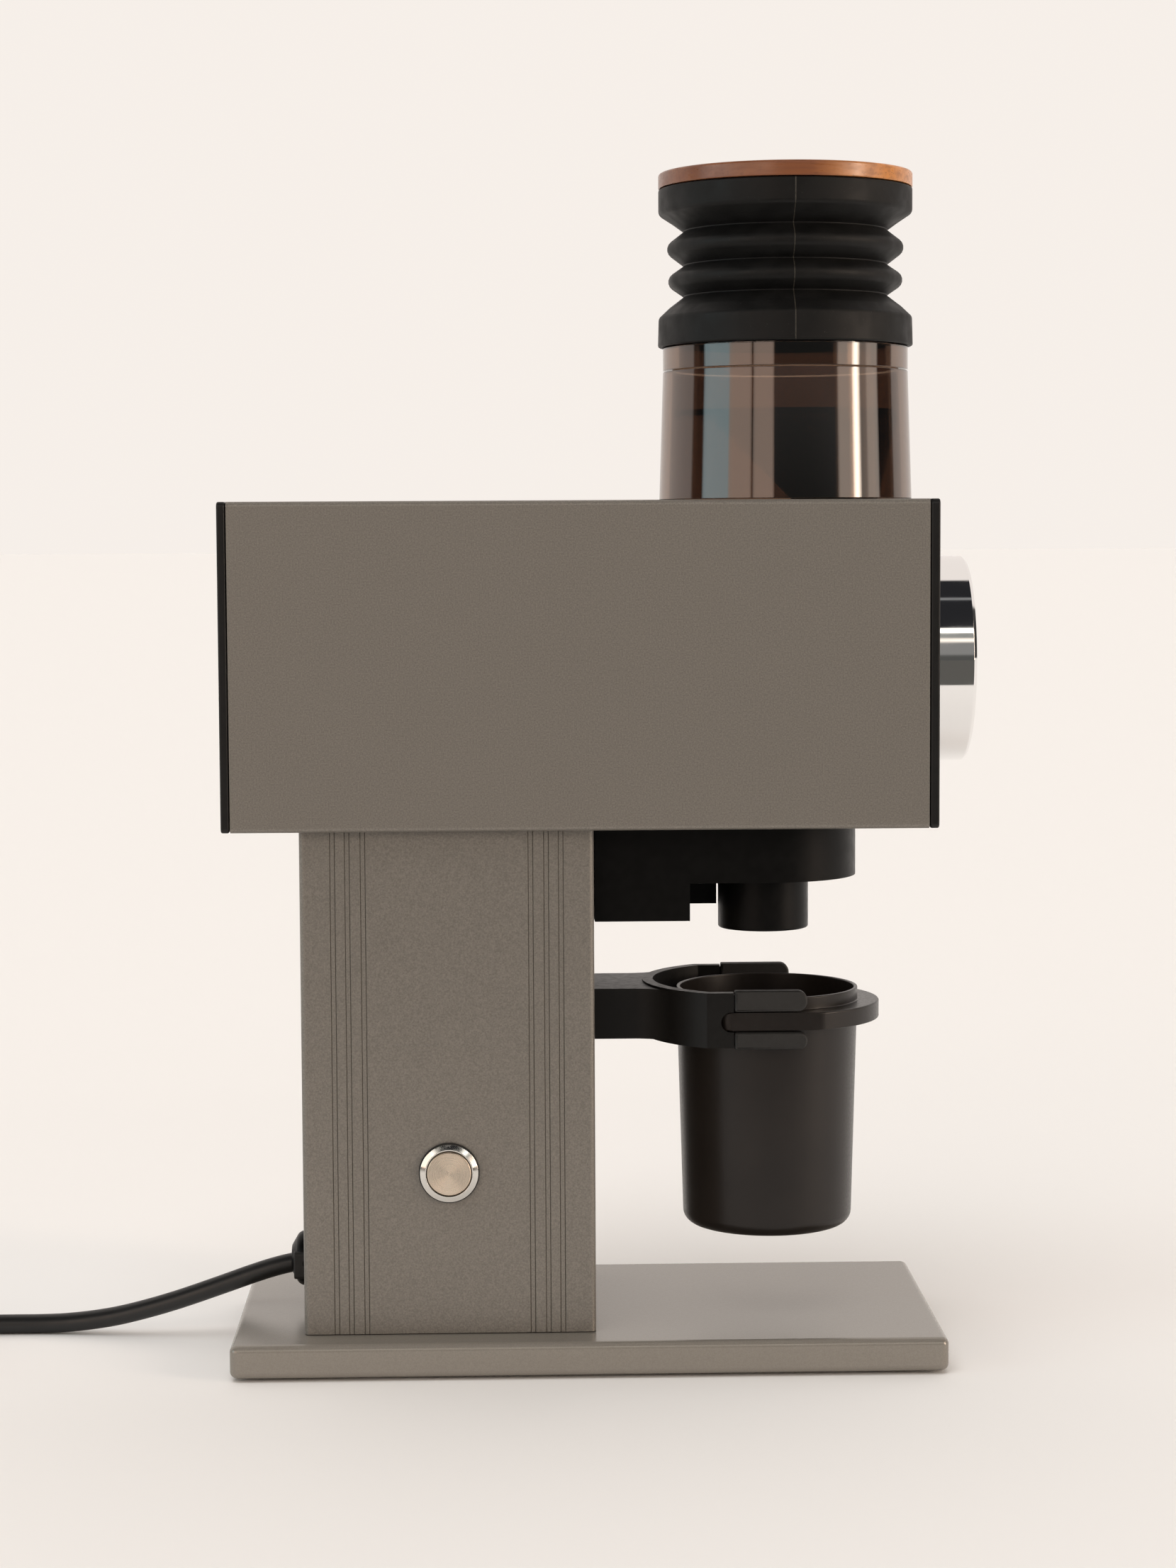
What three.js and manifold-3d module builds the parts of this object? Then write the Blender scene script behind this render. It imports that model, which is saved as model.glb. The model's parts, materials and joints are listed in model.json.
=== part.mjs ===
// A single-dose burr coffee grinder with a horizontal grinding shaft: a box-shaped head on a column and
// a base plate, a smoky hopper with bellows and a wooden lid, an adjustment dial at the front, and a
// dosing cup in a slotted fork under the chute.
//
// Millimetres, +Z up, +X towards the dial (front), -Y the side with the push button. The origin is on the
// surface that the grinder stands on, in the middle of the grinder itself (its cord left out).

import * as THREE from 'three';
import { mergeVertices } from 'three/addons/utils/BufferGeometryUtils.js';
import Module from 'manifold-3d';

const wasm = await Module();
wasm.setup();

// ---------------------------------------------------------------- driving dimensions

const GAP = 0.3; // between pieces that touch on the real grinder
const GRINDER_LENGTH = 232.7; // rear cover to the dial's front
const REAR = -GRINDER_LENGTH / 2;
const FRONT = GRINDER_LENGTH / 2;

const FOOT = { radius: 9, proud: 1.0, inset: 15, recess: 2.2 };
const BASE = { x0: REAR + 1, length: 221, depth: 105.8, thick: 10.4, edge: 2.2 };
const BASE_TOP = FOOT.proud + BASE.thick;

const COLUMN = { x0: REAR + 23.3, length: 90.4, depth: 80.4, wall: 3, corner: 1.8, port: 11 };
const GROOVES = { offsets: [10.2, 14.7, 19.5], width: 2.1, deep: 0.6 };
const COLUMN_FRONT = COLUMN.x0 + COLUMN.length;
const COLUMN_MID = COLUMN.x0 + COLUMN.length / 2;

const HEAD = { z0: 168.1, height: 100.6, depth: 90, wall: 3, corner: 1.6, port: 7 };
const HEAD_TOP = HEAD.z0 + HEAD.height;
const SHAFT_Z = HEAD.z0 + HEAD.height / 2;
const COVER_THICK = 2.6; // rear cover
const PANEL_THICK = 2.8; // front panel
const PANEL_FRONT = FRONT - 13.3;

const DIAL = { radius: 32.45, chamfer: 0.9 };

const HOPPER = { x: 59.7, bottomR: 39.9, topR: 38.6, wall: 3, jointZ: 309.3, topZ: 316.6 };
const THROAT = { x: 75.5, radius: 11.8, wall: 2 };
const FUNNEL = { mouthX: 64.8, mouthR: 28.4, mouthZ: 296.7 };
const BELLOWS = { z0: 316.9, bandR: 39.9, waistR: 32.1, crestR: 37.8, skin: 2.6 };
const BELLOWS_FOLDS = [326.0, 332.6, 337.5, 342.2, 347.6, 353.0, 358.5]; // band, waist, crest, ...
const LID = { z0: 366.3, top: 371, plug: 5, radius: 39.9 };

const CHUTE = { x: 52.55, spoutR: 14.4, wall: 1.6, bottomZ: 132.85, boreR: 13 };
const HOUSING = { frontX: 52.75, halfWidth: 29.25, z0: 150, lowZ: 138.3, nearX: 27.45, farX: 38.75 };

const CUP_X = 53.75;
const FORK = { outerR: 40, innerR: 36.6, outerY: 33.8, innerY: 30.5, tipX: 63.0, z0: 99.0, z1: 116.2 };
const FORK_BAR = { halfWidth: 17.7, z0: 99.7, z1: 115.6, filletR: 14 };
const SLOT = { z0: 103.85, z1: 110.15, endX: 39.95 };
const GRIP = { x0: 41.05, x1: 63.6, outerY: 34.2, innerY: 30.0, proud: 0.6 };

const CUP = { z0: 37.3, rimZ: 113.85, rimR: 29, bottomR: 26.9, corner: 4, wall: 1.2 };
const FLANGE = { radius: 35.8, z0: 104.2, z1: 109.8, flatY: 32.7 };

const BUTTON = { x: COLUMN_MID, z: 62.1, bezelR: 9.03, barrelR: 7.9, capR: 6.9, travel: 1.5 };

const BURR = { radius: 32, boreR: 14, thick: 5.6, innerX: 46.4, outerX: 54.0, teeth: 10 };
const CHAMBER = { x0: 34, x1: 95, outerR: 40, innerR: 36.6 };
const SHAFT_R = 5;
const MOTOR = { x0: REAR + 12, x1: -22, radius: 36 };

const CORD_D = 6.2;
const GLAND = { z: 26.7, x: COLUMN.x0 - 6.2, radius: 8.75 };
const COIL = { x: -255, y: -30.2, turnOuterR: 42.2, turnInnerR: 29.8, height: 2 * CORD_D + 0.2 };
const PLUG = { x: -313.3, axisZ: 10, rearY: -7, reliefLength: 22, bodyLength: 26, pinLength: 17 };

// The cord's route where it isn't coiled: out of the gland and down to the floor, and from the coil to
// the plug. Points are places on its centreline.
const CORD_ROUTE = [
  [-100.3, 0, 24.9], [-105, 0.2, 23.8], [-112, 0.8, 21.5], [-120, 1.8, 18.5], [-128.3, 3, 15.4],
  [-136, 4.2, 12.6], [-143.5, 5.6, 10.1], [-150.8, 7, 7.9], [-158, 8.6, 6.0], [-166, 10.1, 4.5],
  [-174, 11.3, 3.5], [-182, 11.9, 3.12], [-190, 12, 3.1], [-204, 12, 3.1], [-218, 12, 3.1],
  [-231.6, 12, 3.1],
];
const PLUG_ROUTE = [
  [-259.6, 18.7, 8.6], [-264.5, 21.5, 7.8], [-270, 24.5, 6.6], [-276.5, 26.9, 5.2], [-284, 28, 4.2],
  [-292, 26.8, 3.7], [-299.5, 23.2, 4.0], [-305.5, 17.6, 5.2], [-309.8, 11, 7.0], [-312.3, 4.2, 8.8],
  [-313.2, -1, 9.7], [-313.3, -6.7, 10],
];

// ---------------------------------------------------------------- materials

const finish = (color, roughness, metalness = 0) => ({ color, roughness, metalness });
const POWDER_GREY = finish(0x7d7469, 0.55, 0.3);
const BLACK_METAL = finish(0x161514, 0.45, 0.4);
const BLACK_PLASTIC = finish(0x111111, 0.6);
const BLACK_RUBBER = finish(0x0c0c0c, 0.8);
const SOFT_GRIP = finish(0x1d1c1a, 0.85);
const SATIN_CUP = finish(0x1b1613, 0.35, 0.6);
const POLISHED = finish(0xe6e6e6, 0.12, 1);
const BRUSHED = finish(0xcfc3b4, 0.3, 1);
const SMOKY = finish(0x3a2c22, 0.1);
const WOOD = finish(0x7a3b1c, 0.4);
const STEEL = finish(0x9a9a9a, 0.3, 1);
const CAST = finish(0x8c8c8a, 0.5, 0.8);
const BOARD = finish(0x1f4d2b, 0.6);

// ---------------------------------------------------------------- helpers

const model = new THREE.Group();

function solid(geometry) {
  const plain = geometry.clone();
  plain.deleteAttribute('normal');
  plain.deleteAttribute('uv');
  const merged = mergeVertices(plain, 1e-4);
  const vertProperties = new Float32Array(merged.attributes.position.array);
  const triVerts = new Uint32Array(merged.index.array);
  return new wasm.Manifold(new wasm.Mesh({ numProp: 3, vertProperties, triVerts }));
}

function geometryOf(manifold) {
  const mesh = manifold.getMesh();
  const geometry = new THREE.BufferGeometry();
  geometry.setAttribute('position', new THREE.BufferAttribute(mesh.vertProperties, 3));
  geometry.setIndex(new THREE.BufferAttribute(mesh.triVerts, 1));
  geometry.computeVertexNormals();
  return geometry;
}

const cut = (body, ...tools) => tools.reduce((left, tool) => left.subtract(tool), body);
const join = (...bodies) => bodies.reduce((sum, body) => sum.add(body));

function piece(name, body, look) {
  const mesh = new THREE.Mesh(geometryOf(body), new THREE.MeshStandardMaterial(look));
  mesh.name = name;
  model.add(mesh);
}

function block(x0, x1, y0, y1, z0, z1) {
  const geometry = new THREE.BoxGeometry(x1 - x0, y1 - y0, z1 - z0);
  return solid(geometry.translate((x0 + x1) / 2, (y0 + y1) / 2, (z0 + z1) / 2));
}

// Stands a shape that was made about Z onto another axis: its low end keeps the low coordinate.
const ONTO_AXIS = {
  x: (geometry) => geometry.rotateY(Math.PI / 2),
  y: (geometry) => geometry.rotateX(-Math.PI / 2),
  z: (geometry) => geometry,
};

// A turned piece: profile is a list of [radius, height], from the low end of its axis to the high end,
// or once round the section of a ring.
function turned(profile, axis, place, segments = 36) {
  const points = profile.map(([radius, height]) => new THREE.Vector2(radius, height));
  const geometry = new THREE.LatheGeometry(points, segments).rotateX(Math.PI / 2);
  return solid(ONTO_AXIS[axis](geometry).translate(...place));
}

const rod = (radius, low, high, axis, place, segments = 24) =>
  turned([[0, low], [radius, low], [radius, high], [0, high]], axis, place, segments);

const ring = (outer, inner, low, high, axis, place, segments = 36) =>
  turned([[inner, low], [outer, low], [outer, high], [inner, high], [inner, low]], axis, place, segments);

function roundedOutline(width, height, radius) {
  const [w, h, r] = [width / 2, height / 2, radius];
  const shape = new THREE.Shape();
  shape.absarc(w - r, h - r, r, 0, Math.PI / 2);
  shape.absarc(r - w, h - r, r, Math.PI / 2, Math.PI);
  shape.absarc(r - w, r - h, r, Math.PI, 1.5 * Math.PI);
  shape.absarc(w - r, r - h, r, 1.5 * Math.PI, 2 * Math.PI);
  return shape;
}

const circle = (x, y, radius) => new THREE.Path().absarc(x, y, radius, 0, 2 * Math.PI, true);

// An outline in XY raised from z0 to z1; bevel rounds its two outer edges.
function raised(shape, z0, z1, bevel = 0, curveSegments = 3) {
  const options = {
    depth: z1 - z0 - 2 * bevel,
    curveSegments,
    bevelEnabled: bevel > 0,
    bevelThickness: bevel,
    bevelSize: bevel,
    bevelOffset: -bevel,
    bevelSegments: 1,
  };
  return new THREE.ExtrudeGeometry(shape, options).translate(0, 0, z0 + bevel);
}

// The same with the outline in YZ (first coordinate Y, second Z), running from x0 to x1.
function raisedAlongX(shape, x0, x1, bevel = 0, curveSegments = 3) {
  const geometry = raised(shape, x0, x1, bevel, curveSegments);
  const turn = new THREE.Matrix4().set(0, 0, 1, 0, 1, 0, 0, 0, 0, 1, 0, 0, 0, 0, 0, 1);
  return geometry.applyMatrix4(turn);
}

function tube(points, diameter, sides, step) {
  const curve = new THREE.CatmullRomCurve3(points.map((p) => new THREE.Vector3(...p)));
  const section = new THREE.Shape();
  for (let i = 0; i < sides; i += 1) {
    const angle = (2 * Math.PI * i) / sides;
    const spot = [(diameter / 2) * Math.cos(angle), (diameter / 2) * Math.sin(angle)];
    if (i === 0) section.moveTo(...spot);
    else section.lineTo(...spot);
  }
  section.closePath();
  const steps = Math.round(curve.getLength() / step);
  return solid(new THREE.ExtrudeGeometry(section, { steps, extrudePath: curve, bevelEnabled: false }));
}

// A countersunk or cap screw about an axis: head at the low end when flip is 1, at the high end at -1.
function screw(headR, headLong, shankR, length, axis, place, flip = 1) {
  const profile = [[0, 0], [headR, 0], [headR, headLong], [shankR, headLong], [shankR, length], [0, length]];
  const turnedRound = profile.map(([r, h]) => [r, flip * h]);
  if (flip < 0) turnedRound.reverse();
  const socket = rod(headR * 0.45, Math.min(0, flip * headLong * 0.6) - (flip > 0 ? 1 : 0),
    Math.max(0, flip * headLong * 0.6) + (flip < 0 ? 1 : 0), axis, place, 6);
  return cut(turned(turnedRound, axis, place, 10), socket);
}

const corners = (dx, dy) => [[-dx, -dy], [dx, -dy], [-dx, dy], [dx, dy]];
const CORNER_NAMES = ['rear_near', 'front_near', 'rear_far', 'front_far'];

// ---------------------------------------------------------------- stand: base, feet, column

const BASE_MID = BASE.x0 + BASE.length / 2;
const BASE_SCREW = { headR: 5, shankR: 2.2, dx: COLUMN.length / 2 - 8.5, dy: COLUMN.depth / 2 - 9.2 };
const HEAD_BOLT = { headR: 3.6, headLong: 3, length: 22 };

function basePlate() {
  const outline = roundedOutline(BASE.length, BASE.depth, 2.6);
  const plate = raised(outline, FOOT.proud, BASE_TOP, BASE.edge).translate(BASE_MID, 0, 0);
  const footHoles = corners(BASE.length / 2 - FOOT.inset, BASE.depth / 2 - FOOT.inset).map(([x, y]) =>
    rod(FOOT.radius + GAP, 0, FOOT.proud + FOOT.recess + GAP, 'z', [BASE_MID + x, y, 0], 20));
  const screwHoles = corners(BASE_SCREW.dx, BASE_SCREW.dy).map(([x, y]) => join(
    rod(BASE_SCREW.headR + GAP, 0, 5.5, 'z', [COLUMN_MID + x, y, 0], 16),
    rod(BASE_SCREW.shankR + GAP, 5, BASE_TOP + 1, 'z', [COLUMN_MID + x, y, 0], 12)));
  piece('base_plate', cut(solid(plate), ...footHoles, ...screwHoles), POWDER_GREY);
}

function feetAndBaseScrews() {
  corners(BASE.length / 2 - FOOT.inset, BASE.depth / 2 - FOOT.inset).forEach(([x, y], i) => {
    const top = FOOT.proud + FOOT.recess;
    const profile = [[0, 0], [FOOT.radius - 0.6, 0], [FOOT.radius, 0.6], [FOOT.radius, top], [0, top]];
    piece(`foot_${CORNER_NAMES[i]}`, turned(profile, 'z', [BASE_MID + x, y, 0], 20), BLACK_RUBBER);
  });
  corners(BASE_SCREW.dx, BASE_SCREW.dy).forEach(([x, y], i) => {
    const place = [COLUMN_MID + x, y, FOOT.proud + 1];
    const baseScrew = screw(BASE_SCREW.headR, 3, BASE_SCREW.shankR, 24, 'z', place);
    piece(`base_screw_${CORNER_NAMES[i]}`, baseScrew, STEEL);
  });
}

// Half of the column's outline on one broad side: the edge from one corner to the next with its grooves.
function groovedEdge(shape, side) {
  const half = COLUMN.length / 2;
  const y = (side * COLUMN.depth) / 2;
  const mids = [...GROOVES.offsets.map((d) => d - half), ...GROOVES.offsets.map((d) => half - d).reverse()];
  const ordered = side < 0 ? mids : mids.slice().reverse();
  ordered.forEach((mid) => {
    const step = (-side * GROOVES.width) / 2;
    shape.lineTo(mid - step, y);
    shape.lineTo(mid - step * 0.6, y - side * GROOVES.deep);
    shape.lineTo(mid + step * 0.6, y - side * GROOVES.deep);
    shape.lineTo(mid + step, y);
  });
}

function columnOutline() {
  const [w, h, r] = [COLUMN.length / 2, COLUMN.depth / 2, COLUMN.corner];
  const shape = new THREE.Shape();
  shape.absarc(r - w, r - h, r, Math.PI, 1.5 * Math.PI);
  groovedEdge(shape, -1);
  shape.absarc(w - r, r - h, r, 1.5 * Math.PI, 2 * Math.PI);
  shape.absarc(w - r, h - r, r, 0, Math.PI / 2);
  groovedEdge(shape, 1);
  shape.absarc(r - w, h - r, r, Math.PI / 2, Math.PI);
  return shape;
}

// The inside of an extruded tube: a rectangle with a screw port left standing in each corner.
function portedHole(width, height, wall, port) {
  const [w, h] = [width / 2 - wall, height / 2 - wall];
  const p = port;
  const hole = new THREE.Path();
  hole.moveTo(-w + p, -h);
  [[-w + p, -h + p], [-w, -h + p], [-w, h - p], [-w + p, h - p], [-w + p, h], [w - p, h], [w - p, h - p],
    [w, h - p], [w, -h + p], [w - p, -h + p], [w - p, -h]].forEach(([x, y]) => hole.lineTo(x, y));
  hole.closePath();
  return hole;
}

function columnTube() {
  const shape = columnOutline();
  shape.holes.push(portedHole(COLUMN.length, COLUMN.depth, COLUMN.wall, COLUMN.port));
  corners(BASE_SCREW.dx, BASE_SCREW.dy).forEach(([x, y]) => {
    shape.holes.push(circle(x, y, BASE_SCREW.shankR + GAP));
  });
  const body = solid(raised(shape, BASE_TOP + GAP, HEAD.z0 - GAP, 0, 4).translate(COLUMN_MID, 0, 0));
  const buttonHole = rod(BUTTON.barrelR + GAP, -45, -30, 'y', [BUTTON.x, 0, BUTTON.z]);
  const glandHole = rod(6.3 + GAP, COLUMN.x0 - 5, COLUMN.x0 + 5, 'x', [0, 0, GLAND.z]);
  const forkHoles = forkScrewSpots().map(([y, z]) =>
    rod(2 + GAP, COLUMN_FRONT - 8, COLUMN_FRONT + 5, 'x', [0, y, z], 12));
  piece('column_tube', cut(body, buttonHole, glandHole, ...forkHoles), POWDER_GREY);
}

function headBolts() {
  corners(BASE_SCREW.dx, BASE_SCREW.dy).forEach(([x, y], i) => {
    const { headR, headLong, length } = HEAD_BOLT;
    const place = [COLUMN_MID + x, y, HEAD.z0 + HEAD.wall + GAP + headLong];
    const bolt = screw(headR, headLong, BASE_SCREW.shankR, length, 'z', place, -1);
    piece(`head_bolt_${CORNER_NAMES[i]}`, bolt, STEEL);
  });
}

// ---------------------------------------------------------------- push button

const WALL_Y = -COLUMN.depth / 2;
const BUTTON_AT = [BUTTON.x, 0, BUTTON.z];

function pushButton() {
  const sealY = WALL_Y - GAP;
  const bezelY = sealY - 0.5 - GAP;
  const faceY = bezelY - 1.1;
  const shoulderY = -33;
  const seal = ring(BUTTON.bezelR + 0.35, BUTTON.barrelR + GAP, sealY - 0.5, sealY, 'y', BUTTON_AT, 30);
  piece('button_seal', seal, BLACK_RUBBER);
  const bezel = turned([[7.15, faceY], [7.45, faceY], [BUTTON.bezelR, bezelY - 0.3], [BUTTON.bezelR, bezelY],
    [BUTTON.barrelR, bezelY], [BUTTON.barrelR, -18], [0, -18], [0, -22], [5.0, -22], [5.0, shoulderY],
    [7.15, shoulderY], [7.15, faceY]], 'y', BUTTON_AT, 30);
  piece('button_body', bezel, BRUSHED);
  const capY = faceY - 0.3;
  const cap = turned([[0, capY], [BUTTON.capR - 0.5, capY], [BUTTON.capR, capY + 0.4],
    [BUTTON.capR, faceY + 2.2], [4.5, faceY + 2.2], [4.5, -24.5], [0, -24.5]], 'y', BUTTON_AT, 30);
  piece('button_cap', cap, BRUSHED);
  const spring = [];
  for (let i = 0; i <= 33; i += 1) {
    const angle = (2 * Math.PI * i) / 11;
    const y = faceY + 3.1 + (i / 33) * (shoulderY - BUTTON.travel - GAP - 0.5 - faceY - 3.1);
    spring.push([BUTTON.x + 5.8 * Math.cos(angle), y, BUTTON.z + 5.8 * Math.sin(angle)]);
  }
  piece('button_spring', tube(spring, 0.9, 6, 3.4), STEEL);
  const nutY = WALL_Y + COLUMN.wall + GAP;
  const hexagon = rod(11, nutY, nutY + 3, 'y', BUTTON_AT, 6);
  const nut = cut(hexagon, rod(BUTTON.barrelR + GAP, -40, -30, 'y', BUTTON_AT));
  piece('button_nut', nut, STEEL);
}

// ---------------------------------------------------------------- head: tube, covers, motor

const TUBE_X0 = REAR + COVER_THICK + GAP;
const TUBE_X1 = PANEL_FRONT - PANEL_THICK - GAP;
const PORT_DY = HEAD.depth / 2 - 6.5;
const PORT_DZ = HEAD.height / 2 - 6.5;

function headTube() {
  const shape = roundedOutline(HEAD.depth, HEAD.height, HEAD.corner);
  shape.holes.push(portedHole(HEAD.depth, HEAD.height, HEAD.wall, HEAD.port));
  corners(PORT_DY, PORT_DZ).forEach(([y, z]) => shape.holes.push(circle(y, z, 1.7 + GAP)));
  const body = solid(raisedAlongX(shape, TUBE_X0, TUBE_X1).translate(0, 0, SHAFT_Z));
  const inlet = rod(THROAT.radius + THROAT.wall + 0.6, HEAD_TOP - 10, HEAD_TOP + 5, 'z', [THROAT.x, 0, 0]);
  const outlet = rod(CHUTE.boreR + 1.4, HEAD.z0 - 5, HEAD.z0 + 10, 'z', [CHUTE.x, 0, 0]);
  const boltHoles = corners(BASE_SCREW.dx, BASE_SCREW.dy).map(([x, y]) =>
    rod(BASE_SCREW.shankR + GAP, HEAD.z0 - 5, HEAD.z0 + 6, 'z', [COLUMN_MID + x, y, 0], 12));
  piece('head_tube', cut(body, inlet, outlet, ...boltHoles), POWDER_GREY);
}

function covers() {
  const outline = () => roundedOutline(HEAD.depth, HEAD.height, HEAD.corner);
  const rear = solid(raisedAlongX(outline(), REAR, REAR + COVER_THICK, 0.6).translate(0, 0, SHAFT_Z));
  const sinks = corners(PORT_DY, PORT_DZ).map(([y, z]) => join(
    rod(3.4 + GAP, REAR - 1, REAR + 1.4, 'x', [0, y, SHAFT_Z + z], 12),
    rod(1.7 + GAP, REAR - 1, REAR + 4, 'x', [0, y, SHAFT_Z + z], 12)));
  piece('rear_cover', cut(rear, ...sinks), BLACK_METAL);
  corners(PORT_DY, PORT_DZ).forEach(([y, z], i) => {
    const place = [REAR + 0.1, y, SHAFT_Z + z];
    const name = ['low_near', 'low_far', 'high_near', 'high_far'][i];
    piece(`rear_screw_${name}`, screw(3.4, 1, 1.7, 11, 'x', place), STEEL);
  });
  const plate = raisedAlongX(outline(), PANEL_FRONT - PANEL_THICK, PANEL_FRONT, 0.6);
  const front = solid(plate.translate(0, 0, SHAFT_Z));
  const hub = rod(12 + 0.6, PANEL_FRONT - 8, PANEL_FRONT + 5, 'x', [0, 0, SHAFT_Z], 40);
  piece('front_panel', cut(front, hub), BLACK_METAL);
}

const AT_SHAFT = [0, 0, SHAFT_Z];

function motor() {
  const can = turned([[0, MOTOR.x0], [MOTOR.radius - 6, MOTOR.x0], [MOTOR.radius - 6, MOTOR.x0 + 4],
    [MOTOR.radius, MOTOR.x0 + 8], [MOTOR.radius, MOTOR.x1], [SHAFT_R + GAP, MOTOR.x1],
    [SHAFT_R + GAP, MOTOR.x1 - 20], [0, MOTOR.x1 - 20]], 'x', AT_SHAFT, 32);
  piece('motor', can, STEEL);
  const outline = roundedOutline(HEAD.depth - 2 * HEAD.wall - 1, HEAD.height - 2 * HEAD.wall - 1, 1);
  const plateX = MOTOR.x1 + GAP;
  const plate = solid(raisedAlongX(outline, plateX, plateX + 6).translate(...AT_SHAFT));
  const notches = corners(PORT_DY, PORT_DZ).map(([y, z]) => block(plateX - 1, plateX + 7,
    y - 6, y + 6, SHAFT_Z + z - 6, SHAFT_Z + z + 6));
  const seat = rod(11 + GAP, plateX - 1, plateX + 7, 'x', AT_SHAFT, 32);
  piece('motor_bulkhead', cut(plate, ...notches, seat), CAST);
  piece('shaft_bearing', ring(11, SHAFT_R + GAP, plateX, plateX + 6, 'x', AT_SHAFT, 32), STEEL);
}

// ---------------------------------------------------------------- grinding chamber, burrs, dial

function toothedBurr(x0, faceX) {
  const disc = ring(BURR.radius, BURR.boreR, x0, x0 + BURR.thick, 'x', AT_SHAFT, 32);
  const teeth = [];
  for (let i = 0; i < BURR.teeth; i += 1) {
    const groove = new THREE.BoxGeometry(2.4, 1.8, 26).translate(0, 3.5, (BURR.boreR + BURR.radius) / 2);
    groove.rotateX((2 * Math.PI * i) / BURR.teeth).translate(faceX, 0, SHAFT_Z);
    teeth.push(solid(groove));
  }
  return cut(disc, ...teeth);
}

function grindingChamber() {
  const { x0, x1, outerR, innerR } = CHAMBER;
  const shell = cut(rod(outerR, x0, x1, 'x', AT_SHAFT, 32), rod(innerR, x0 + 4, x1 + 1, 'x', AT_SHAFT, 32));
  const outletTube = rod(CHUTE.boreR + 1.0, HEAD.z0 + 0.4, SHAFT_Z - innerR + 1, 'z', [CHUTE.x, 0, 0], 24);
  const inletTube = rod(THROAT.radius + THROAT.wall, SHAFT_Z + innerR - 3, HEAD_TOP - 6.6, 'z',
    [THROAT.x, 0, 0], 24);
  const hollow = rod(innerR, x0 + 4, x1 + 1, 'x', AT_SHAFT, 32);
  const outlet = rod(CHUTE.boreR - 1, HEAD.z0 - 1, SHAFT_Z, 'z', [CHUTE.x, 0, 0], 24);
  const inlet = rod(THROAT.radius, SHAFT_Z, HEAD_TOP, 'z', [THROAT.x, 0, 0], 24);
  const shaftHole = rod(SHAFT_R + 0.6, x0 - 1, x0 + 6, 'x', AT_SHAFT, 24);
  const body = cut(join(shell, outletTube, inletTube), hollow, outlet, inlet, shaftHole);
  piece('grinding_chamber', body, CAST);
}

function rotor() {
  const shaftEnd = BURR.outerX + 20;
  const shoulder = BURR.innerX + BURR.thick + 1;
  const shaft = turned([[0, MOTOR.x1 - 18], [SHAFT_R, MOTOR.x1 - 18], [SHAFT_R, shoulder], [3, shoulder],
    [3, shaftEnd], [0, shaftEnd]], 'x', AT_SHAFT, 32);
  piece('drive_shaft', shaft, STEEL);
  const discX = CHAMBER.x0 + 4.5;
  const disc = ring(34, SHAFT_R + GAP, discX, BURR.innerX - GAP, 'x', AT_SHAFT, 32);
  piece('rotor_disc', disc, CAST);
  piece('inner_burr', toothedBurr(BURR.innerX, BURR.innerX + BURR.thick), STEEL);
  const augerX = BURR.innerX + BURR.thick + 1 + GAP;
  const core = ring(5.4, 3 + GAP, augerX, shaftEnd - 0.5, 'x', AT_SHAFT, 24);
  const flight = [];
  const turns = 1.6;
  for (let i = 0; i <= 32; i += 1) {
    const angle = (2 * Math.PI * turns * i) / 32;
    const x = augerX + 2.2 + (i / 32) * (shaftEnd - augerX - 5);
    flight.push([x, 7 * Math.cos(angle), SHAFT_Z + 7 * Math.sin(angle)]);
  }
  piece('feed_auger', join(core, tube(flight, 3.8, 6, 4.2)), STEEL);
}

function burrCarrier() {
  const x0 = BURR.outerX + BURR.thick + GAP;
  const x1 = CHAMBER.x1 - 1;
  const hubR = 9.3;
  const body = cut(rod(CHAMBER.innerR - GAP, x0, x1, 'x', AT_SHAFT, 32),
    rod(13, x0 - 1, x1 - 7, 'x', AT_SHAFT, 32),
    rod(hubR, x1 - 4.5, x1 + 1, 'x', AT_SHAFT, 32),
    rod(THROAT.radius + 1.5, SHAFT_Z, SHAFT_Z + 45, 'z', [THROAT.x, 0, 0], 24));
  piece('outer_burr_carrier', body, CAST);
  piece('outer_burr', toothedBurr(BURR.outerX, BURR.outerX), STEEL);
}

function dial() {
  const hubEnd = FRONT - 6;
  const flangeEnd = PANEL_FRONT - PANEL_THICK - GAP;
  const collar = turned([[0, CHAMBER.x1 - 4], [9, CHAMBER.x1 - 4], [9, CHAMBER.x1 + 0.6],
    [22, CHAMBER.x1 + 0.6], [22, flangeEnd], [12, flangeEnd], [12, hubEnd], [0, hubEnd]], 'x', AT_SHAFT, 32);
  piece('adjuster_collar', collar, BLACK_METAL);
  const backX = PANEL_FRONT + GAP;
  const { radius, chamfer } = DIAL;
  const knob = turned([[0, hubEnd + GAP], [12 + GAP, hubEnd + GAP], [12 + GAP, backX], [radius - 0.4, backX],
    [radius, backX + 0.4], [radius, FRONT - chamfer], [radius - chamfer, FRONT], [0, FRONT]],
  'x', AT_SHAFT, 40);
  piece('adjustment_dial', knob, POLISHED);
}

// ---------------------------------------------------------------- hopper, bellows, lid

const AT_HOPPER = [HOPPER.x, 0, 0];

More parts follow.
